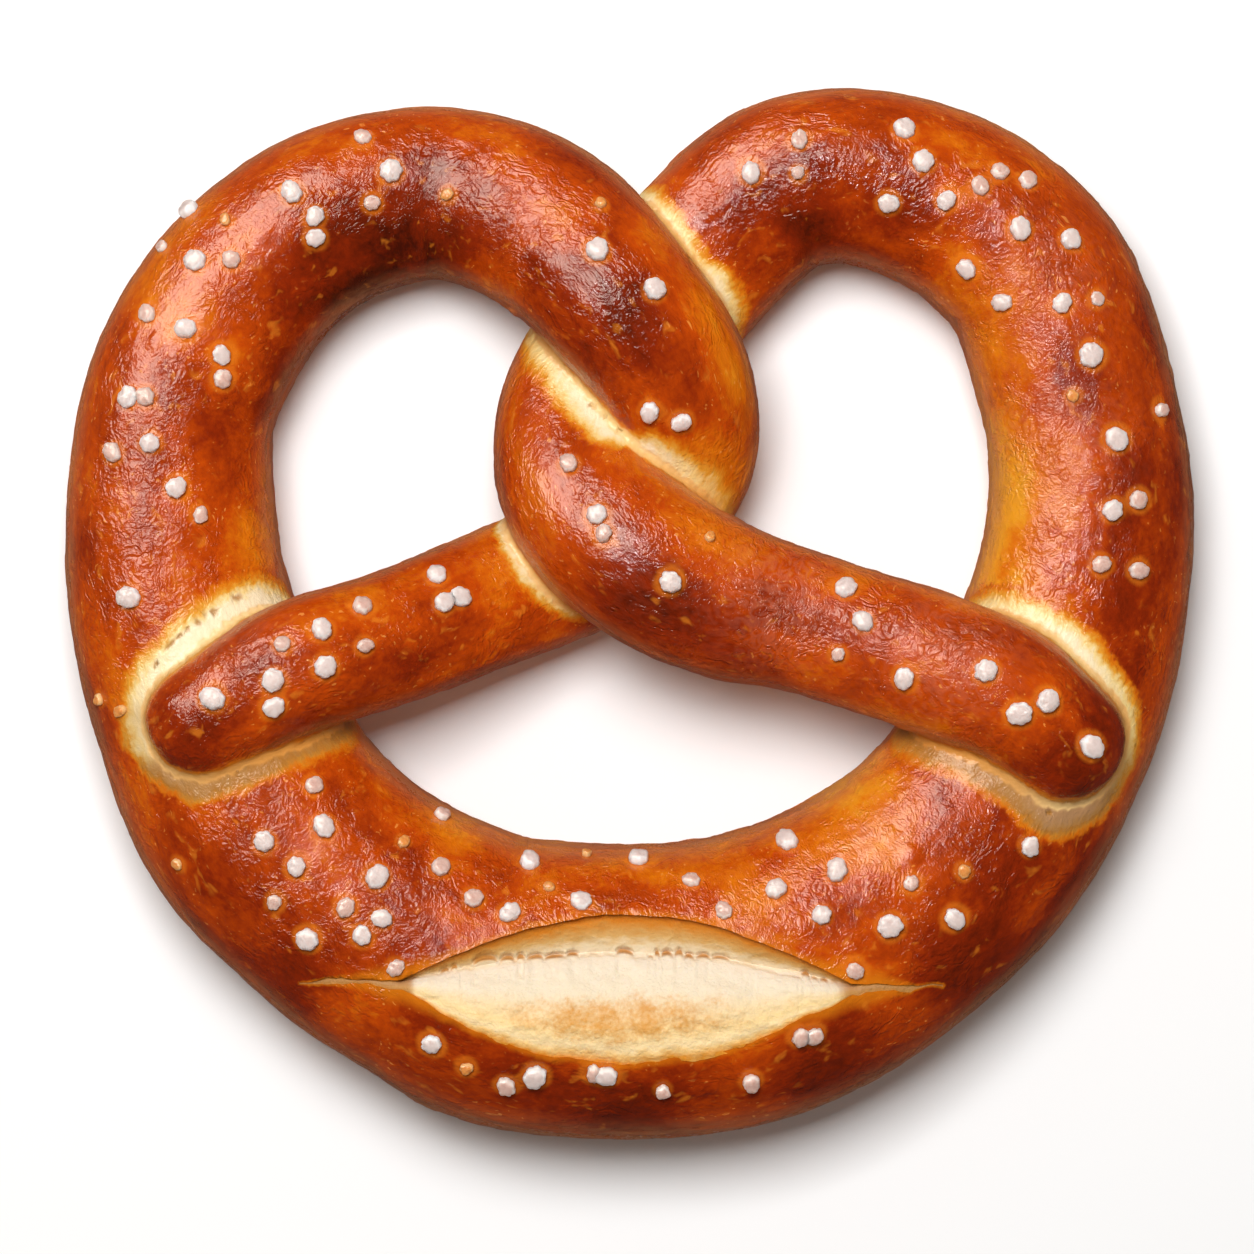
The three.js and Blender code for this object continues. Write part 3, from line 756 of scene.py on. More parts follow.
# %% The seams, each point with x, y, the width of the pale band and how creamy it is
SEAMS = {
    "upper crossing": [
        (2, 62, 3.2, 0.6), (5, 56, 2.8, 0.55), (9, 49, 2.4, 0.35), (11, 46, 3.6, 0.75),
        (15.5, 40, 3.6, 0.3), (19, 34, 3, 0.2),
    ],
    "twist": [
        (-16, 42, 3, 0.25), (-12.5, 38.3, 4, 0.35), (-8, 33, 4.4, 0.7), (-4.5, 29, 4.4, 1),
        (0.5, 24, 4, 0.95), (5, 20, 4.4, 0.55), (11, 16.5, 5, 0.25), (17, 13, 3, 0.05),
    ],
    "lower crossing": [
        (-19, 15, 1.8, 0.7), (-15, 9.5, 2.4, 0.8), (-10, 3.5, 2.4, 0.45), (-4.5, -2.8, 2, 0),
    ],
    "left arm, above": [
        (-38.5, 5, 2.4, 0.1), (-47, 3.8, 4, 0.5), (-52, 2.5, 4.8, 0.95), (-60, -3, 5, 1),
        (-66, -8, 4, 0.7), (-69, -14, 3.6, 0.6),
    ],
    "left arm, below": [
        (-69, -19, 3, 0.5), (-65, -24, 3, 0.6), (-57, -24.5, 3.2, 0.3), (-48, -20.5, 3.2, 0.15),
        (-40, -16.5, 3.6, 0.1), (-33, -12, 2.4, 0),
    ],
    "right arm, above": [
        (42, 5, 2.6, 0.1), (48, 2.6, 3.6, 0.4), (55, -0.8, 3.8, 0.6), (62, -5.5, 4, 0.9),
        (67.5, -11, 3, 0.5), (70, -18, 2.6, 0.3),
    ],
    "right arm, below": [
        (69.5, -26, 2.6, 0.4), (65, -29, 3.6, 0.8), (59, -28, 4.4, 1), (54, -25, 3.6, 0.4),
        (46, -20.5, 3.6, 0.15), (37, -16.5, 4, 0.05), (32, -14, 2.4, 0),
    ],
}
# how much painted shade darkens each seam's pale band, as if in the shadow of the part above it
SHADED_SEAMS = {"left arm, below": 1.0, "right arm, below": 1.0, "lower crossing": 0.2}
FADE = (5, 10)  # a seam's band fades out from this far off it to this far


# %% How pale the skin is at any place
def seam_field(places):
    """The nearest seam's width, creaminess and painted shade at each point; the width fades to 0 away from
    it.
    """
    widest, total, creamy, seam_shade = np.zeros((4, len(places)))
    for name, line in SEAMS.items():
        near = np.full(len(places), np.inf)
        here = np.zeros((len(places), 2))
        line = np.array(line, float)
        for a, b in zip(line, line[1:]):
            run = b[:2] - a[:2]
            share = np.clip((places[:, :2] - a[:2]) @ run / (run @ run), 0, 1)
            gap = np.hypot(*(places[:, :2] - a[:2] - share[:, None] * run).T)
            better = gap < near
            near[better] = gap[better]
            here[better] = (a[2:] + share[:, None] * (b - a)[2:])[better]
        width = here[:, 0] * (1 - smoothly(near, *FADE))
        widest = np.maximum(widest, width)
        weight = width**4 + 1e-9
        total, creamy = total + weight, creamy + weight * here[:, 1]
        seam_shade = seam_shade + weight * SHADED_SEAMS.get(name, 0)
    return widest, creamy / total, seam_shade / total


# %% Pits torn in the seams: x, y, half length, half width and lean
PITS = [
    (-54.4, 2.5, 0.9, 0.34, 34), (-58, 0.3, 0.4, 0.36, 45), (-59.5, -0.9, 0.9, 0.4, 38),
    (-61.2, -2, 0.25, 0.3, 0), (-62.3, -3.1, 0.4, 0.3, 50), (-63.3, -4, 0.5, 0.32, 50),
    (-64.4, -5, 0.4, 0.34, 55), (-65.8, -7.2, 0.5, 0.25, 60), (-5.2, 29, 0.5, 0.22, -40),
    (-3.4, 27.6, 0.35, 0.2, -40), (-1.4, 25.6, 0.5, 0.22, -40), (0.6, 23.6, 0.3, 0.2, -40),
    (3.6, 56.6, 0.4, 0.25, -60), (8.6, 49.4, 0.4, 0.25, -50), (61.6, -6.6, 0.5, 0.25, -45),
    (58.5, -27.6, 0.5, 0.3, 25),
]

print(len(SEAMS), "seams with", len(PITS), "pits")

# %% [markdown]
# ## What the oven did to each spot, and painted shade
# The crust is darkest on the arms' tips, the crossings and the rims, and golden in the lee of
# another part. Noise alone would put such patches anywhere. So each is a soft round spot in a
# list: x, y, reach and amount. Amounts add up, and one below zero makes the crust lighter. Some
# spots are painted shade rather than baking, darkening the right and lower flanks. Others are
# painted light from the floor on the inner flanks by the holes. A second list does the same for
# the wrinkles, which are deep and wet in some places only; above zero it also paints a pinkish
# sheen on them, a painted highlight.

# %% Where the oven baked it darker or lighter, with painted shade and painted floor light among the spots
BAKING_AND_SHADE = [
    (-60, -18, 7, 0.42), (63, -20, 7, 0.4), (2, 3, 9, 0.34), (12, -2, 8, 0.2), (0, 40, 9, 0.26),
    (10, 26, 7, 0.12), (-28, 52, 9, 0.22), (25, 57, 10, 0.3), (72, 20, 9, 0.24), (73, 2, 9, 0.26),
    (70, -18, 9, 0.1), (50, -46, 11, 0.28), (28, -63, 10, 0.3), (0, -69, 13, 0.26),
    (-28, -63, 10, 0.3), (-46, -50, 9, 0.26), (-50, 28, 7, 0.1), (-40, 46, 12, 0.44),
    (-56, -38, 9, 0.2), (66, -34, 9, 0.2), (52, 16, 6, -0.42), (50, 5, 6, -0.4),
    (49, 34, 6, -0.12), (49, 25, 6, -0.3), (-51, 12, 5, -0.22), (-24, -28, 7, -0.22),
    (-58, 45, 8, -0.03), (2, -34, 8, -0.14), (30, -24, 8, -0.26), (-20, 2, 9, -0.26),
    (-66, 46, 6, -0.06), (15, 33, 5, -0.2), (12, 20, 6, -0.32), (-40, -55, 6, -0.2),
    (37, -54, 5, -0.25), (30, 6, 7, -0.1), (-61, 25, 8, 0.1), (-25, -1, 8, 0.16),
    (-52, -5, 5, 0.1), (1, 8, 6, 0.06), (-9, 50, 7, 0.12), (9, 43, 6, -0.26), (75, 16, 7, 0.16),
    (65, -22, 5, -0.14), (60, 24, 6, -0.14), (-4, -37, 9, 0.06), (51, -37, 8, 0.08),
    (-4, -68, 12, 0.1), (-53, -6, 6, 0.08), (-24, 0, 8, 0.1), (66, 33, 9, 0.2), (-3, 14, 6, 0.12),
    (69, -6, 6, 0.25), (40, -50, 9, 0.18), (40, 56, 7, 0.14), (-13, -64, 9, 0.12),
    (3, 51, 5, -0.3), (2, 28, 5, -0.2), (-10, 32, 5, -0.1), (49, 20, 6, -0.3),
    (-57, -26, 5, -0.14), (29, -19, 5, -0.32), (-11, -31, 7, -0.22), (-41, 47, 8, 0.06),
    (13, -31, 6, -0.15), (30, 62, 5, -0.15), (66, 2, 6, 0.14), (-36, -57, 7, 0.08),
    (34, -57, 7, 0.1), (-38, -10, 6, 0.14), (22, -5, 6, 0.04), (-70, 15, 7, 0.1),
]

# %% Where its wrinkles are deep and catch the window's light, or smooth; above zero, a pinkish sheen is painted on them too
SHINE_AND_SHEEN = [
    (21, 2, 8, 0.9), (44, -6, 8, 0.8), (59, 24, 9, 0.7), (58, 46, 8, 0.6), (2, 6, 8, 0.1),
    (-25, -1, 8, -0.2), (-52, -5, 6, 0.4), (-41, 47, 8, -0.4), (4, -38, 7, -0.35),
    (-20, -58, 9, -0.4), (8, -66, 10, -0.4), (32, 58, 7, -0.6),
]
print(len(BAKING_AND_SHADE), "baked spots and", len(SHINE_AND_SHEEN), "shiny or dull ones")

# %% Marks on the finished crust for its material to read
places, distance, out, rise = mark_rope(crust)
width, cream, tan = seam_field(places)
store(crust.data, "seam", np.stack([width * MM, cream, smoothly(rise, -1, 3)], 1))
store(crust.data, "tan", tan)
bake, shine = np.zeros(len(places)), np.zeros(len(places))
# The first list sums bake tones, painted shade and painted floor light alike; the second sets gloss, bump and
# a painted sheen
for total, spots in ((bake, BAKING_AND_SHADE), (shine, SHINE_AND_SHEEN)):
    for x, y, reach, amount in spots:
        total += amount * np.exp(-((places[:, 0] - x) ** 2 + (places[:, 1] - y) ** 2) / reach**2)
store(crust.data, "bake", bake)
store(crust.data, "shine", shine)
print("seams run over", int((width > 1).sum()), "points")

# %% The creases where two parts meet, and the pits
a, b = edge_ends(crust.data)
apart = np.abs(distance[a] - distance[b]) > APART / 2  # this edge joins two parts of the rope
crease = np.zeros((len(places), 1))
crease[a[apart]] = crease[b[apart]] = 1
crease = np.maximum(crease, neighbours_mean(crust.data, crease))
store(crust.data, "crease", crease[:, 0])
pit = np.zeros(len(places))
for x, y, long, wide, lean in PITS:
    turned = (places[:, 0] - x + 1j * (places[:, 1] - y)) * np.exp(-1j * np.radians(lean))
    pit = np.maximum(pit, np.exp(-(turned.real / long) ** 4 - (turned.imag / wide) ** 4))
store(crust.data, "pit", pit)
print(int((crease > 0).sum()), "points lie in a crease,", int((pit > 0.5).sum()), "in a pit")

# %% How far each point is from the salt and from the burst's lips, and how deep in its cut wall
FAR = 9.0  # farther off than this, nothing shows
TOP_SIDE = 12  # only points higher than this are on the belly's upper side
rim = np.full(len(places), FAR)
for middle, _, radius in grains:
    rim = np.minimum(rim, np.linalg.norm(places - middle, axis=1) - radius)
store(crust.data, "grain", rim * MM)
u = places[:, 0] - BURST["middle"][0]
near_lips = np.abs(places[:, 1] - BURST["middle"][1]) < burst_half_width(u) + 0.7
in_burst = near_lips & (u > -46) & (u < 45) & (places[:, 2] > TOP_SIDE)
store(crust.data, "cut", np.where(in_burst, np.maximum(0, -out), 0) * MM)
upper, lower = lips(u)
beyond = np.maximum(places[:, 1] - upper, lower - places[:, 1])
past_end = np.maximum(-BURST["left"] - u, u - BURST["right"])
beyond = np.hypot(np.maximum(beyond, 0), np.maximum(0, past_end))
beyond = np.where(places[:, 2] > TOP_SIDE, np.minimum(beyond, FAR), FAR)
tail = 1 - smoothly(np.abs(u), 33, 41)
store(crust.data, "lip", np.stack([beyond * MM, smoothly(np.abs(u), 22, 31) * tail, tail], 1))
print(int(in_burst.sum()), "points lie in the burst")

# %% [markdown]
# ## The crumb in the burst
# Crumb is soft, airy bread: a smooth wall under the upper lip, a torn line with small round holes
# at its foot, and a swollen slope behind it. A bump map would leave it flat seen from the side.
# So the rule above gives the height of every point, and even noise adds holes, strands and folds.

# %% The torn line: round knuckles of crumb, a hole over each, and strands between them
KNUCKLE = 2.0  # their width


def torn_line(u):
    """How far the torn line lies below its place, each hole's size and reach, and the strands."""
    along = np.stack([u, 0 * u], -1)
    turn = (u + 2.6 * lumps(along, 4.6, 21) + 0.9 * lumps(along, 1.9, 32)) / KNUCKLE
    chance = np.sin(np.floor(turn) * 127.1) * 43758.5453 % 1  # one number for each knuckle
    size = 0.2 + 0.8 * chance ** 1.5
    arch = np.abs(np.sin(np.pi * turn))  # 0 between two knuckles, 1 on top of one
    low = 0.6 + 0.75 * lumps(along, 9, 22) - 1.1 * size * np.sqrt(arch)
    reach = np.sqrt(arch) * smoothly(size, 0.2, 0.45)
    strands = (1 - arch) ** 3 * smoothly(lumps(along, 2.3, 30), -0.4, 0.2)
    return low, size, reach, strands


def past_torn_line(u, share):
    """How far below the torn line a place lies, and how much of a hole and a strand is there."""
    half = burst_half_width(u)
    low, size, reach, strands = torn_line(u)
    past = (share - BURST["valleyShare"]) * 2 * half - low * np.minimum(1, half / 5)
    hole = reach * np.exp(-((past + 0.15 + 0.15 * size) / (0.14 + 0.3 * size)) ** 2)
    return past, hole, strands * np.exp(-((past + 0.1) / 0.9) ** 2)


# %% The height of the crumb
def crumb_top(x, y, u, share):
    smooth_top = crust_height(x, y) - crumb_depth(u, np.clip(share, 0, 1))
    opened = np.minimum(1, burst_half_width(u) / 5)
    spot = np.stack([x, y], -1)
    past, hole, strand = past_torn_line(u, share)
    torn_edge = 0.55 * smoothly(past, 0, 0.3) * (1 - smoothly(past, 0.5, 3.2))
    grooves = 0.14 * lumps(spot * (1, 0.25), 0.9, 28) * smoothly(past, 0, 0.8) * (1 - smoothly(past, 2, 4.5))
    folds = 0.1 * lumps(spot * (0.6, 1), 1.4, 25) + 0.09 * lumps(spot * (0.7, 1), 0.7, 26)
    veins = 0.22 * (1 - np.abs(lumps(spot * (0.5, 1), 2.4, 29))) ** 4 * (1 - smoothly(past, -1, 0))
    swell = 0.35 * lumps(spot, 4.5, 27)
    crumbly = smoothly(past, 0, 3)
    rough = torn_edge - hole * 0.6 + strand * 0.35 + grooves + veins
    return smooth_top + opened * (rough + swell * (0.3 + crumbly * 0.7) + folds * (0.1 + crumbly))


fine = np.concatenate([[-0.001], np.linspace(0, 0.15, 12), np.linspace(0.156, 0.42, 48),
                       np.linspace(0.43, 1, 44), [1.001]])
coarse = np.linspace(0, 1, 8)
THICK, TUCKED = 2.6, 0.45  # how deep its piece reaches into the dough, and how far under the lips
crumb = burst_block(
    "crumb", 600, (fine, coarse), crumb_top,
    lambda x, y, u, share: crust_height(x, y) - crumb_depth(u, share) - THICK, TUCKED,
)
print("the crumb has", len(crumb.data.polygons), "faces")

# %% [markdown]
# ## The salt itself
# Every grain is a flat lump with full sides and a scalloped outline. Geometry Nodes square off the
# sides of a small sphere, put it on each place, turn it to stand on the crust, and push its skin
# out in cells and lumps. Seeds are fixed, so the grains come out the same in every run.

# %% A tree that grows a lump of salt on every point
GRAINS = {
    "Flatness": FLATNESS, "Fullness": 0.65, "Lobes": 7, "Lobe Depth": 0.09,
    "Scallop Height": 0.16 * MM, "Scallop Size": 1.0 * MM,
    "Lump Height": 0.22 * MM, "Lump Size": 1.5 * MM, "Seed": 3,
}
tree, wire = geometry_tree("salt grains", GRAINS)
add = tree.add
stand = add("FunctionNodeAlignRotationToVector", {"axis": "Z"}, {"Vector": attribute("outward")})
turn = add("ShaderNodeCombineXYZ", None, {"Z": attribute("turn", "FLOAT")})
stand = add("FunctionNodeRotateRotation", {"rotation_space": "LOCAL"},
            {0: stand, 1: add("FunctionNodeEulerToRotation", None, {0: turn})})
radius, stretch = attribute("radius", "FLOAT"), attribute("stretch", "FLOAT")
size = add("ShaderNodeCombineXYZ", None,
           {"X": radius * (1 + stretch), "Y": radius * (1 - stretch), "Z": radius * wire["Flatness"]})
ball = add("GeometryNodeMeshUVSphere", None, {"Segments": 28, "Rings": 10, "Radius": 1.0})
x, y, z = parts(add, add("GeometryNodeInputPosition"))
from_axis = (x * x + y * y).most(0.0001) ** 0.5
turned = y.maths("ARCTAN2", y, x) * wire["Lobes"] * 0.5
lobe = (turned.wave(1).size() ** 0.7 - 0.75) * wire["Lobe Depth"] * from_axis
widen = from_axis ** (wire["Fullness"] - 1) * (1 + lobe)
square = add("ShaderNodeCombineXYZ", None,
             {"X": x * widen, "Y": y * widen, "Z": z.maths("SIGN", z) * z.size() ** wire["Fullness"]})
edged = add("GeometryNodeStoreNamedAttribute", {"data_type": "FLOAT", "domain": "POINT"},
            {"Geometry": ball, "Name": "edge", "Value": from_axis})
lump = add("GeometryNodeSetPosition", None, {"Geometry": edged, "Position": square})
standing = add("GeometryNodeInstanceOnPoints", None,
               {"Points": wire["Geometry"], "Instance": lump, "Rotation": stand, "Scale": size})
plain = add("GeometryNodeRealizeInstances", None, {0: standing})

# %% Scallops and lumps on its skin
place = add("GeometryNodeInputPosition")
scallop = add("ShaderNodeTexVoronoi", {"voronoi_dimensions": "4D"},
              {"Vector": place, "W": wire["Seed"], "Scale": wire["Scallop Size"] ** -1})
bulge = (0.45 - scallop) * 2 * wire["Scallop Height"]
bulge = bulge + (noise(add, place, wire["Lump Size"], wire["Seed"], 1.0) - 0.5) * 2 * wire["Lump Height"]
push = add("ShaderNodeVectorMath", {"operation": "SCALE"},
           {0: add("GeometryNodeInputNormal"), "Scale": bulge})
rough = add("GeometryNodeSetPosition", None, {"Geometry": plain, "Offset": push})
salt_tree = tree
print("the salt's tree has", len(tree.nodes.nodes), "nodes")


# %% Three kinds of grain: frosty white, clear, and glazed brown with the crust
def salt_piece(name, chosen, material):
    picked = [grains[i] for i in chosen]
    middles = [place + outward * radius * FLATNESS * (1 - 2 * SUNK) for place, outward, radius in picked]
    made = solid(name, middles, [])
    store(made.data, "outward", np.array([grain[1] for grain in picked]))
    store(made.data, "radius", np.array([grain[2] for grain in picked]) * MM)
    store(made.data, "turn", np.linspace(0, 40, len(picked)))
    store(made.data, "stretch", 0.1 * np.sin(np.arange(len(picked)) * 2.4))
    nodes = salt_tree.nodes.copy()
    painted = Tree(nodes)
    nodes.name = name
    last = Wire(painted, nodes.nodes[rough.socket.node.name].outputs[0])
    coloured = painted.add("GeometryNodeSetMaterial", None, {"Geometry": last, "Material": material})
    painted.add("NodeGroupOutput", None, {"Geometry": coloured})
    use_tree(made, painted, GRAINS)
    return applied(made)


# %% [markdown]
# ## Finishes
# Each finish is a tree of noises that read the object's own places: the crust reads its place on
# the straightened rope, so its mottling and fine wrinkles follow the dough. Only colour, roughness
# and the bump vary over a surface. All other values of the shader are the same all over.

# %% A material with an empty tree, and what ends it
def new_material(name):
    made = bpy.data.materials.new(name)
    made.use_nodes = True
    made.node_tree.nodes.clear()
    return made, Tree(made.node_tree)


def finish_material(tree, sockets, constants):
    surface = tree.add("ShaderNodeBsdfPrincipled", None, {**sockets, **constants})
    tree.add("ShaderNodeOutputMaterial", None, {"Surface": surface})


def blend(add, factor, first, second):
    return add("ShaderNodeMix", {"data_type": "RGBA"}, {"Factor": factor, "A": first, "B": second})


def read(add, name, out="Vector"):
    return add("ShaderNodeAttribute", {"attribute_name": name}, None, out)


def colour(*screen):
    """A colour as a screen shows it, 0 to 255, in the linear light that nodes reckon in."""
    linear = [c / 255 / 12.92 if c < 11 else ((c / 255 + 0.055) / 1.055) ** 2.4 for c in screen]
    return (*linear, 1)


# %% [markdown]
# ## The crust's finish
# Lye and heat turn the skin brown, from gold to nearly black, and give it a varnish. A picture of
# a crust would repeat and blur. Here a single number, how far a spot is baked plus the painted
# shade and floor light of the marks above, is summed from noises and those marks. A ramp turns it
# into colour, and paler things are laid over that, among them a painted sheen and painted floor light.

# %% The crust: how far it is baked, with painted shade added, as one number
crust_look, tree = new_material("baked crust")
add = tree.add
rope = read(add, "rope")
_, up_share, gap = parts(add, read(add, "section"))
waves = add("ShaderNodeTexNoise", None, {"Vector": rope, "Scale": 1 / (5 * MM), "Detail": 2.0}, out="Color")
wavy = moved(add, rope, waves, 4 * MM)
broad = noise(add, rope, 24 * MM, 1.0)
patches = noise(add, scaled(add, wavy, (0.55, 1, 1)), 6.5 * MM, 2.0, 5.0)
streaks = noise(add, scaled(add, wavy, (0.14, 1, 1)), 0.9 * MM, 3.0, 3.0)
specks = noise(add, rope, 0.9 * MM, 4.0, 2.0)
flank = up_share.rise(0.75, 0.2)
baked_and_shaded = (0.46 + (broad - 0.5) * 0.5 + (patches - 0.5) * 0.95 + (streaks - 0.5) * (0.1 + flank * 0.5)
         + (specks - 0.5) * 0.3 + read(add, "bake", "Fac"))
TONES = [(0.0, colour(226, 150, 32)), (0.22, colour(212, 110, 10)), (0.46, colour(182, 66, 4)),
         (0.7, colour(132, 36, 4)), (1.0, colour(66, 15, 3))]
crust_colour = add("ShaderNodeValToRGB", {"stops": TONES}, {0: baked_and_shaded})

# %% Soft lighter spots and small flecks
fleck = noise(add, scaled(add, wavy, (0.8, 1, 1)), 0.55 * MM, 9.0, 1.0).rise(0.66, 0.74)
fleck = fleck * noise(add, rope, 7 * MM, 9.5, 1.0).rise(0.36, 0.55)
soft_spot = noise(add, scaled(add, wavy, (0.7, 1, 1)), 2.0 * MM, 9.7, 2.0).rise(0.6, 0.74)
crust_colour = blend(add, soft_spot * 0.45, crust_colour, colour(222, 128, 34))
crust_colour = blend(add, fleck * baked_and_shaded.rise(0.75, 0.5) * 0.6, crust_colour, colour(234, 150, 66))

# %% A painted pinkish sheen on the wrinkles where they shine, and painted floor light on the flanks near the table, streaked with fibres
contour = noise(add, scaled(add, wavy, (0.8, 1, 1)), 3.0 * MM, 6.0, 2.0)
wrinkles = contour.wave(44) * 0.5 + 0.5
shine = read(add, "shine", "Fac")
# Painted highlight: above zero, the wrinkles are tinted pink as if catching light
crust_colour = blend(add, shine.most(0.0) * wrinkles * 0.14, crust_colour, colour(226, 164, 138))
# Painted light from the floor: the flanks near the table are tinted paler, streaked along the rope
low = up_share.rise(0.65, 0.22) * (streaks.rise(0.35, 0.65) * 0.35 + 0.33)
crust_colour = blend(add, low, crust_colour, colour(206, 138, 88))

# %% Gold round the grains, where salt kept the skin pale, and a thin ring of painted shade where each sits in the crust
rim = read(add, "grain", "Fac")
halo = (rim + (patches - 0.5) * 2.6 * MM).rise(1.1 * MM, 0.2 * MM) * 0.5
crust_colour = blend(add, halo, crust_colour, colour(214, 116, 26))
# Painted shade: a thin dark ring right at each grain's edge, where it sinks into the crust
crust_colour = blend(add, rim.rise(0.34 * MM, 0.08 * MM) * 0.2, crust_colour, colour(112, 40, 10))

# %% The seams: cream in the gap, gold beside it, on the lower part of the dough and the upper
seam_width, cream, under = parts(add, read(add, "seam"))
wander = ((noise(add, rope, 2.4 * MM, 5.0, 3.0) - 0.5) * 1.5
          + (noise(add, rope, 0.7 * MM, 5.5, 2.0) - 0.5) * 0.9)
below = ((gap + wander * 1.6 * MM) / seam_width.most(0.3 * MM)).rise(1.45, 0.35) * (cream * 0.6 + 0.4)
above = ((gap + wander * 0.9 * MM) / (seam_width * 0.5 + 0.2 * MM)).rise(1.2, 0.0) * (cream * 0.2 + 0.28)
pale = (below * under + above * (1 - under)) * seam_width.rise(0.2 * MM, 1.4 * MM)
SEAM_TONES = [(0.0, colour(190, 80, 8)), (0.2, colour(206, 112, 14)), (0.42, colour(216, 150, 48)),
              (0.64, colour(230, 198, 128)), (0.9, colour(238, 220, 182))]
seam_colour = add("ShaderNodeValToRGB", {"stops": SEAM_TONES}, {0: pale + (streaks - 0.5) * 0.4})
painted = blend(add, pale.rise(0.0, 0.16), crust_colour, seam_colour)
# Painted shade: the pale bands under the arms are darkened to tan, as if in their shadow
seam_shade = read(add, "tan", "Fac")
painted = blend(add, seam_shade * pale.rise(0.1, 0.5) * 0.85, painted, colour(154, 98, 44))
pit, crease = read(add, "pit", "Fac"), read(add, "crease", "Fac")
# Painted shade: the pits are tinted brown, as their hollows would look in shade
painted = blend(add, pit.rise(0.1, 0.7) * 0.8, painted, colour(170, 114, 44))
edge_colour = blend(add, cream, colour(206, 130, 44), colour(230, 192, 128))
painted = blend(add, crease.rise(0.05, 0.8) * 0.85, painted, edge_colour)

# %% Gold along the burst's lips, widest at its two ends, where the crust stretched thin
lip, ends, tail = parts(add, read(add, "lip"))
stretched = ((lip + wander * 0.5 * MM) / ((ends * 1.7 + tail * 0.7 + 0.4) * MM)).rise(1.0, 0.0)
painted = blend(add, stretched * (ends * 0.2 + 0.65), painted, colour(206, 114, 16))

# %% The thin brown rim of the burst, and the wall under it
cut_depth = read(add, "cut", "Fac")
RIM_TONES = [(0.0, colour(150, 62, 12)), (0.3, colour(222, 130, 28)), (0.6, colour(226, 168, 84)),
             (1.0, colour(222, 176, 104))]
rim_colour = add("ShaderNodeValToRGB", {"stops": RIM_TONES}, {0: cut_depth.rise(0.2 * MM, 2.0 * MM)})
painted = blend(add, cut_depth.rise(0.2 * MM, 0.45 * MM), painted, rim_colour)

# %% Its fine wrinkles, pits and gloss
leather = (noise(add, wavy, 0.65 * MM, 7.0, 2.0) * 2 - 1).size().rise(0.0, 0.4)
fibres = noise(add, scaled(add, wavy, (0.1, 1, 1)), 0.6 * MM, 7.5, 2.0)
grain = noise(add, rope, 0.3 * MM, 8.0, 2.0)
calm = noise(add, rope, 6 * MM, 8.5, 1.0).rise(0.4, 0.6)
height = (wrinkles * (0.1 + calm * 0.65) * (1 - flank * 0.7) + leather * (0.25 + calm * 0.3)
          + fibres * flank * 1.4 + grain * 0.4)
height = height * (1 - pale * 0.7) + pale * (fibres * 1.6 + grain * 0.6)
height = height * (1 - crease) * (1 + shine * 0.8) - pit * 3
bump = add("ShaderNodeBump", None, {"Height": height, "Distance": 0.1 * MM, "Strength": 1.0})
gloss = 0.14 + (specks - 0.5) * 0.12 + pale * 0.25 + flank * 0.16 + shine * 0.13
finish_material(tree, {"Base Color": painted, "Roughness": gloss, "Normal": bump},
                {"Specular IOR Level": 0.5, "IOR": 1.36})
print("the crust's finish has", len(tree.nodes.nodes), "nodes")

# %% [markdown]
# ## The crumb's finish
# The crumb is dull cream bread that lets a little light in, tan right under the upper lip and
# toasted where it swelled most. A ramp runs over the share of the way from the upper lip to the
# lower one, which is kept on the mesh, so it follows the burst's curve as no gradient could.

# %% The crumb: a tan wall under the upper lip, then cream, toasted where it swelled most
crumb_look, tree = new_material("pale crumb")
add = tree.add
place = add("ShaderNodeTexCoord", None, None, "Object")
toast, share = read(add, "toast", "Fac"), read(add, "share", "Fac")
patch = noise(add, scaled(add, place, (0.7, 1, 1)), 2.2 * MM, 1.0, 5.0)
weave = noise(add, scaled(add, place, (0.5, 1, 1)), 0.8 * MM, 2.0, 4.0)
WALL_TONES = [(0.0, colour(196, 104, 14)), (0.05, colour(204, 124, 34)), (0.1, colour(202, 142, 68)),
              (0.15, colour(206, 162, 98)), (0.21, colour(222, 198, 158)), (0.3, colour(228, 213, 190)),
              (0.52, colour(228, 211, 182)), (0.64, colour(232, 206, 162)), (0.8, colour(242, 210, 150)),
              (0.9, colour(246, 216, 162)), (0.95, colour(240, 194, 122)), (1.0, colour(220, 142, 44))]
wall = add("ShaderNodeValToRGB", {"stops": WALL_TONES}, {0: share + (weave - 0.5) * 0.1})
speckle = noise(add, place, 0.55 * MM, 4.0, 2.0)
toasted = (toast + (patch - 0.5) * 1.4 + (speckle - 0.5) * 1.0).rise(0.25, 1.25)
painted = blend(add, toasted * 0.85, wall, colour(208, 138, 40))
# Painted shade: holes under the torn line and the crack tails are tinted brown, as hollows in shade
hole = read(add, "hole", "Fac").rise(0.15, 0.9)
painted = blend(add, hole * 0.9, painted, colour(174, 114, 42))
pores = noise(add, place, 0.4 * MM, 3.0, 2.0)
bump = add("ShaderNodeBump", None, {"Height": weave * 0.6 + pores * 0.5 + speckle * 0.4,
                                    "Distance": 0.26 * MM, "Strength": 1.0})
finish_material(tree, {"Base Color": painted, "Normal": bump},
                {"Roughness": 0.62, "Specular IOR Level": 0.3, "IOR": 1.4, "Subsurface Weight": 0.1,
                 "Subsurface Radius": (0.9 * MM, 0.6 * MM, 0.3 * MM), "Subsurface Scale": 1.0})

# %% [markdown]
# ## The salt's finish
# Large grains are frosty, smaller ones clearer, and the smallest are glazed with the crust. Real
# refraction would need many bounces of light for such small lumps. Light scattered below their
# surface makes them milky instead, and each grain's rim is painted lighter: a painted highlight
# where light catches its edge.


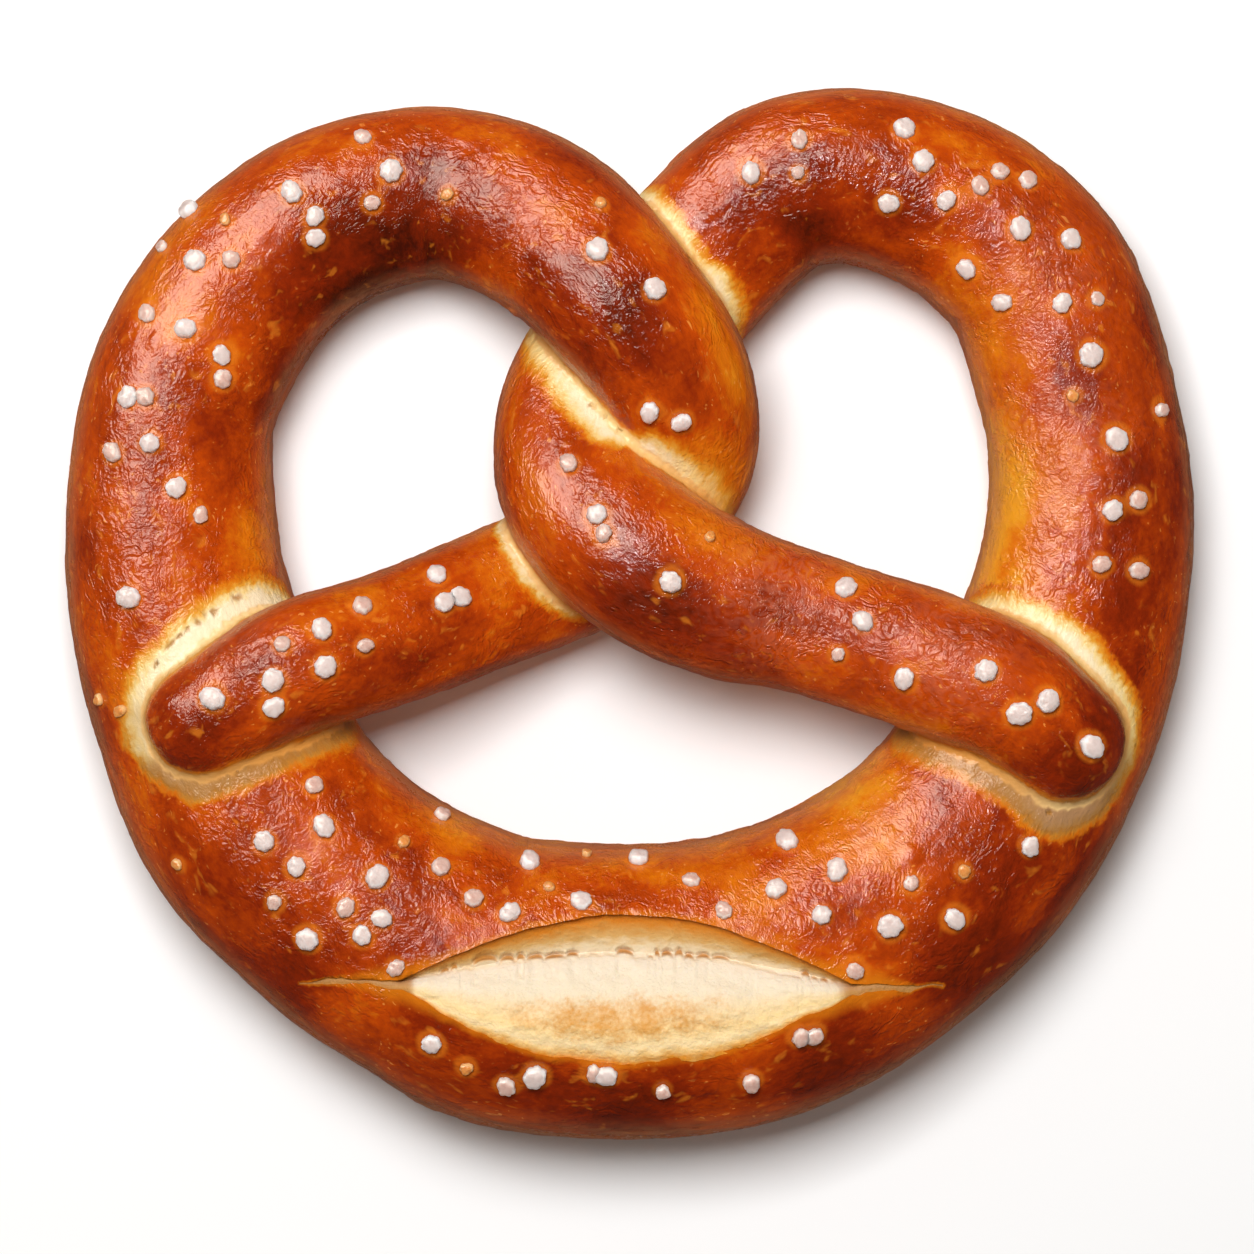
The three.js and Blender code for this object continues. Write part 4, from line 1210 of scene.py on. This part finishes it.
# %% Salt, in its three kinds
def salt_material(name, dull, bright, rim, roughness, inside):
    made, tree = new_material(name)
    add = tree.add
    place = add("ShaderNodeTexCoord", None, None, "Object")
    frost = noise(add, place, 0.5 * MM, 1.0, 3.0)
    tint = blend(add, frost, dull, bright)
    # Painted highlight: each grain's rim is tinted lighter, as where light catches its edge
    tint = blend(add, read(add, "edge", "Fac").rise(0.6, 1.0) * 0.85, tint, rim)
    bump = add("ShaderNodeBump", None, {"Height": frost, "Distance": 0.1 * MM, "Strength": 0.7})
    finish_material(tree, {"Base Color": tint, "Normal": bump},
                    {"Roughness": roughness, "Subsurface Weight": inside,
                     "Subsurface Radius": (2 * MM, 1.8 * MM, 1.7 * MM), "Subsurface Scale": 1.0})
    return made


# the rim colour is a painted highlight along each grain's edge
SALTS = {  # for each piece: radii from and below, then dull, bright and rim colours, roughness and glow
    "salt": (1.37, 9, "white salt", (204, 182, 174), (228, 214, 208), (250, 246, 242), 0.34, 0.85),
    "salt_clear": (0.98, 1.37, "clear salt",
                   (198, 156, 140), (220, 190, 178), (240, 224, 214), 0.28, 0.85),
    "salt_glazed": (0, 0.98, "glazed salt",
                    (206, 116, 44), (228, 158, 88), (238, 186, 128), 0.3, 0.5),
}
pieces = []
for name, (smallest, limit, look, *tones, roughness, inside) in SALTS.items():
    finish = salt_material(look, *(colour(*tone) for tone in tones), roughness, inside)
    chosen = [i for i, (_, _, radius) in enumerate(grains) if smallest <= radius < limit]
    pieces.append(salt_piece(name, chosen, finish))
print([(piece.name, len(piece.data.polygons)) for piece in pieces])

# %% Put the finishes on; only the lips of the burst are crisp
for piece, look in ((crust, crust_look), (crumb, crumb_look)):
    piece.data.materials.clear()
    piece.data.materials.append(look)
for piece in (crust, crumb, *pieces):
    piece.data.polygons.foreach_set("use_smooth", [True] * len(piece.data.polygons))
crust.data.set_sharp_from_angle(angle=1.0)
sharp = crust.data.attributes["sharp_edge"].data
crisp = np.empty(len(crust.data.edges), bool)
sharp.foreach_get("value", crisp)
crisp &= in_burst[edge_ends(crust.data)].all(0)
sharp.foreach_set("value", crisp)
print(int(crisp.sum()), "crisp edges")

# %% Marks on the crumb for its material to read: toast, the share of the way down, and holes and crack tails to paint shade in
place = corners(crumb.data)
u = place[:, 0] - BURST["middle"][0]
upper, lower = lips(u)
share = (upper - place[:, 1]) / np.maximum(upper - lower, 0.2)
swollen = smoothly(share, 0.42, 0.68) * (1 - smoothly(share, 0.74, 0.97))
store(crumb.data, "toast", np.exp(-(((u + 1) / 18) ** 2)) * swollen)
store(crumb.data, "share", np.clip(share, 0, 1))
_, hole, _ = past_torn_line(u, share)
half = burst_half_width(u)
# the crack tails are marked like holes, so they get the same painted shade
tail = 0.8 + 0.2 * smoothly(np.abs(u), 33, 41)
ragged = half + 0.8 * lumps(place[:, :2], 2.4, 40)
store(crumb.data, "hole", hole * smoothly(half, 1, 3) + tail * (1 - smoothly(ragged, 0.8, 2.6)))

# %% [markdown]
# ## Floor, light and camera
# The pretzel lies on a white floor. A lamp hangs almost overhead, a little towards the lobes, and
# throws the short soft shadows below the dough; an even warm sky fills the rest. The gloss comes
# from a large pale window at the upper left, which shows in the crust's varnish alone. Keeping the
# two apart lets the shine be wide while the shadows stay small, and the varnish shows only a
# third of the sky, or it would look veiled. One spotlight adds the glints on the right arm and the
# right side. The camera looks straight down from 0.8 m.

# %% The floor
HALF, BELOW = 900, -0.1  # half the floor's side, and its height, just under the pretzel
square = [(-HALF, -HALF, BELOW), (HALF, -HALF, BELOW), (HALF, HALF, BELOW), (-HALF, HALF, BELOW)]
floor = solid("floor", square, [(0, 1, 2, 3)])
floor_look, tree = new_material("white floor")
finish_material(tree, {}, {"Base Color": (0.9, 0.9, 0.9, 1), "Roughness": 0.7, "Specular IOR Level": 0.2})
floor.data.materials.append(floor_look)
floor.visible_glossy = False  # its white would veil the crust's flanks


# %% The lights, each either for the gloss alone or for all but the gloss
def hang(name, data, place, target, in_gloss):
    lamp = bpy.data.objects.new(name, data)
    bpy.context.scene.collection.objects.link(lamp)
    lamp.location = place
    lamp.rotation_euler = (Vector(target) - Vector(place)).to_track_quat("-Z", "Y").to_euler()
    lamp.visible_glossy, lamp.visible_diffuse = in_gloss, not in_gloss


def area_light(name, place, size, power, tint, in_gloss):
    data = bpy.data.lights.new(name, "AREA")
    data.shape, data.size, data.energy, data.color = "SQUARE", size, power, tint
    hang(name, data, place, (0, 0, 0), in_gloss)


area_light("window", (-0.47, 0.47, 0.75), 0.7, 21.5, (1, 0.96, 0.84), in_gloss=True)
area_light("lamp", (-0.08, 0.21, 0.765), 0.33, 7.2, (1, 1, 1), in_gloss=False)
glint = bpy.data.lights.new("glint", "SPOT")
glint.energy, glint.shadow_soft_size = 30, 0.09
glint.spot_size, glint.spot_blend = 0.14, 0.8
hang("glint", glint, (-0.08, 0.15, 0.6), (0.043, 0.006, 0.02), in_gloss=True)

# %% The sky
SKY, UNSEEN = 0.17, 0.65  # its strength, and the share of it that the varnish doesn't show
world = bpy.data.worlds.new("white room")
world.use_nodes = True
background = world.node_tree.nodes["Background"]
background.inputs["Color"].default_value = (1, 0.92, 0.84, 1)
sky = Tree(world.node_tree)
in_gloss = sky.add("ShaderNodeLightPath", None, None, "Is Glossy Ray")
strength = SKY - in_gloss * SKY * UNSEEN
world.node_tree.links.new(strength.socket, background.inputs["Strength"])
bpy.context.scene.world = world
bpy.context.scene.view_settings.view_transform = "Standard"

# %% The camera
HEIGHT, VIEW_WIDTH = 0.8, 0.1805  # metres above the table, and how much of it the picture spans
SENSOR = 36
camera_data = bpy.data.cameras.new("camera")
camera_data.sensor_width = SENSOR
camera_data.lens = SENSOR * HEIGHT / VIEW_WIDTH
camera = bpy.data.objects.new("camera", camera_data)
camera.location = (-0.24 * MM, -1.9 * MM, HEIGHT)
bpy.context.scene.collection.objects.link(camera)
bpy.context.scene.camera = camera
print("the camera sees", VIEW_WIDTH / MM, "mm of the table")

# %% Hang the pieces on the root body, and hide the solid's own mesh
for piece, slot in ((crust, "crust"), (crumb, "crumb"), *((grain, "salt") for grain in pieces)):
    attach(piece, "root")
    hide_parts("pretzel")
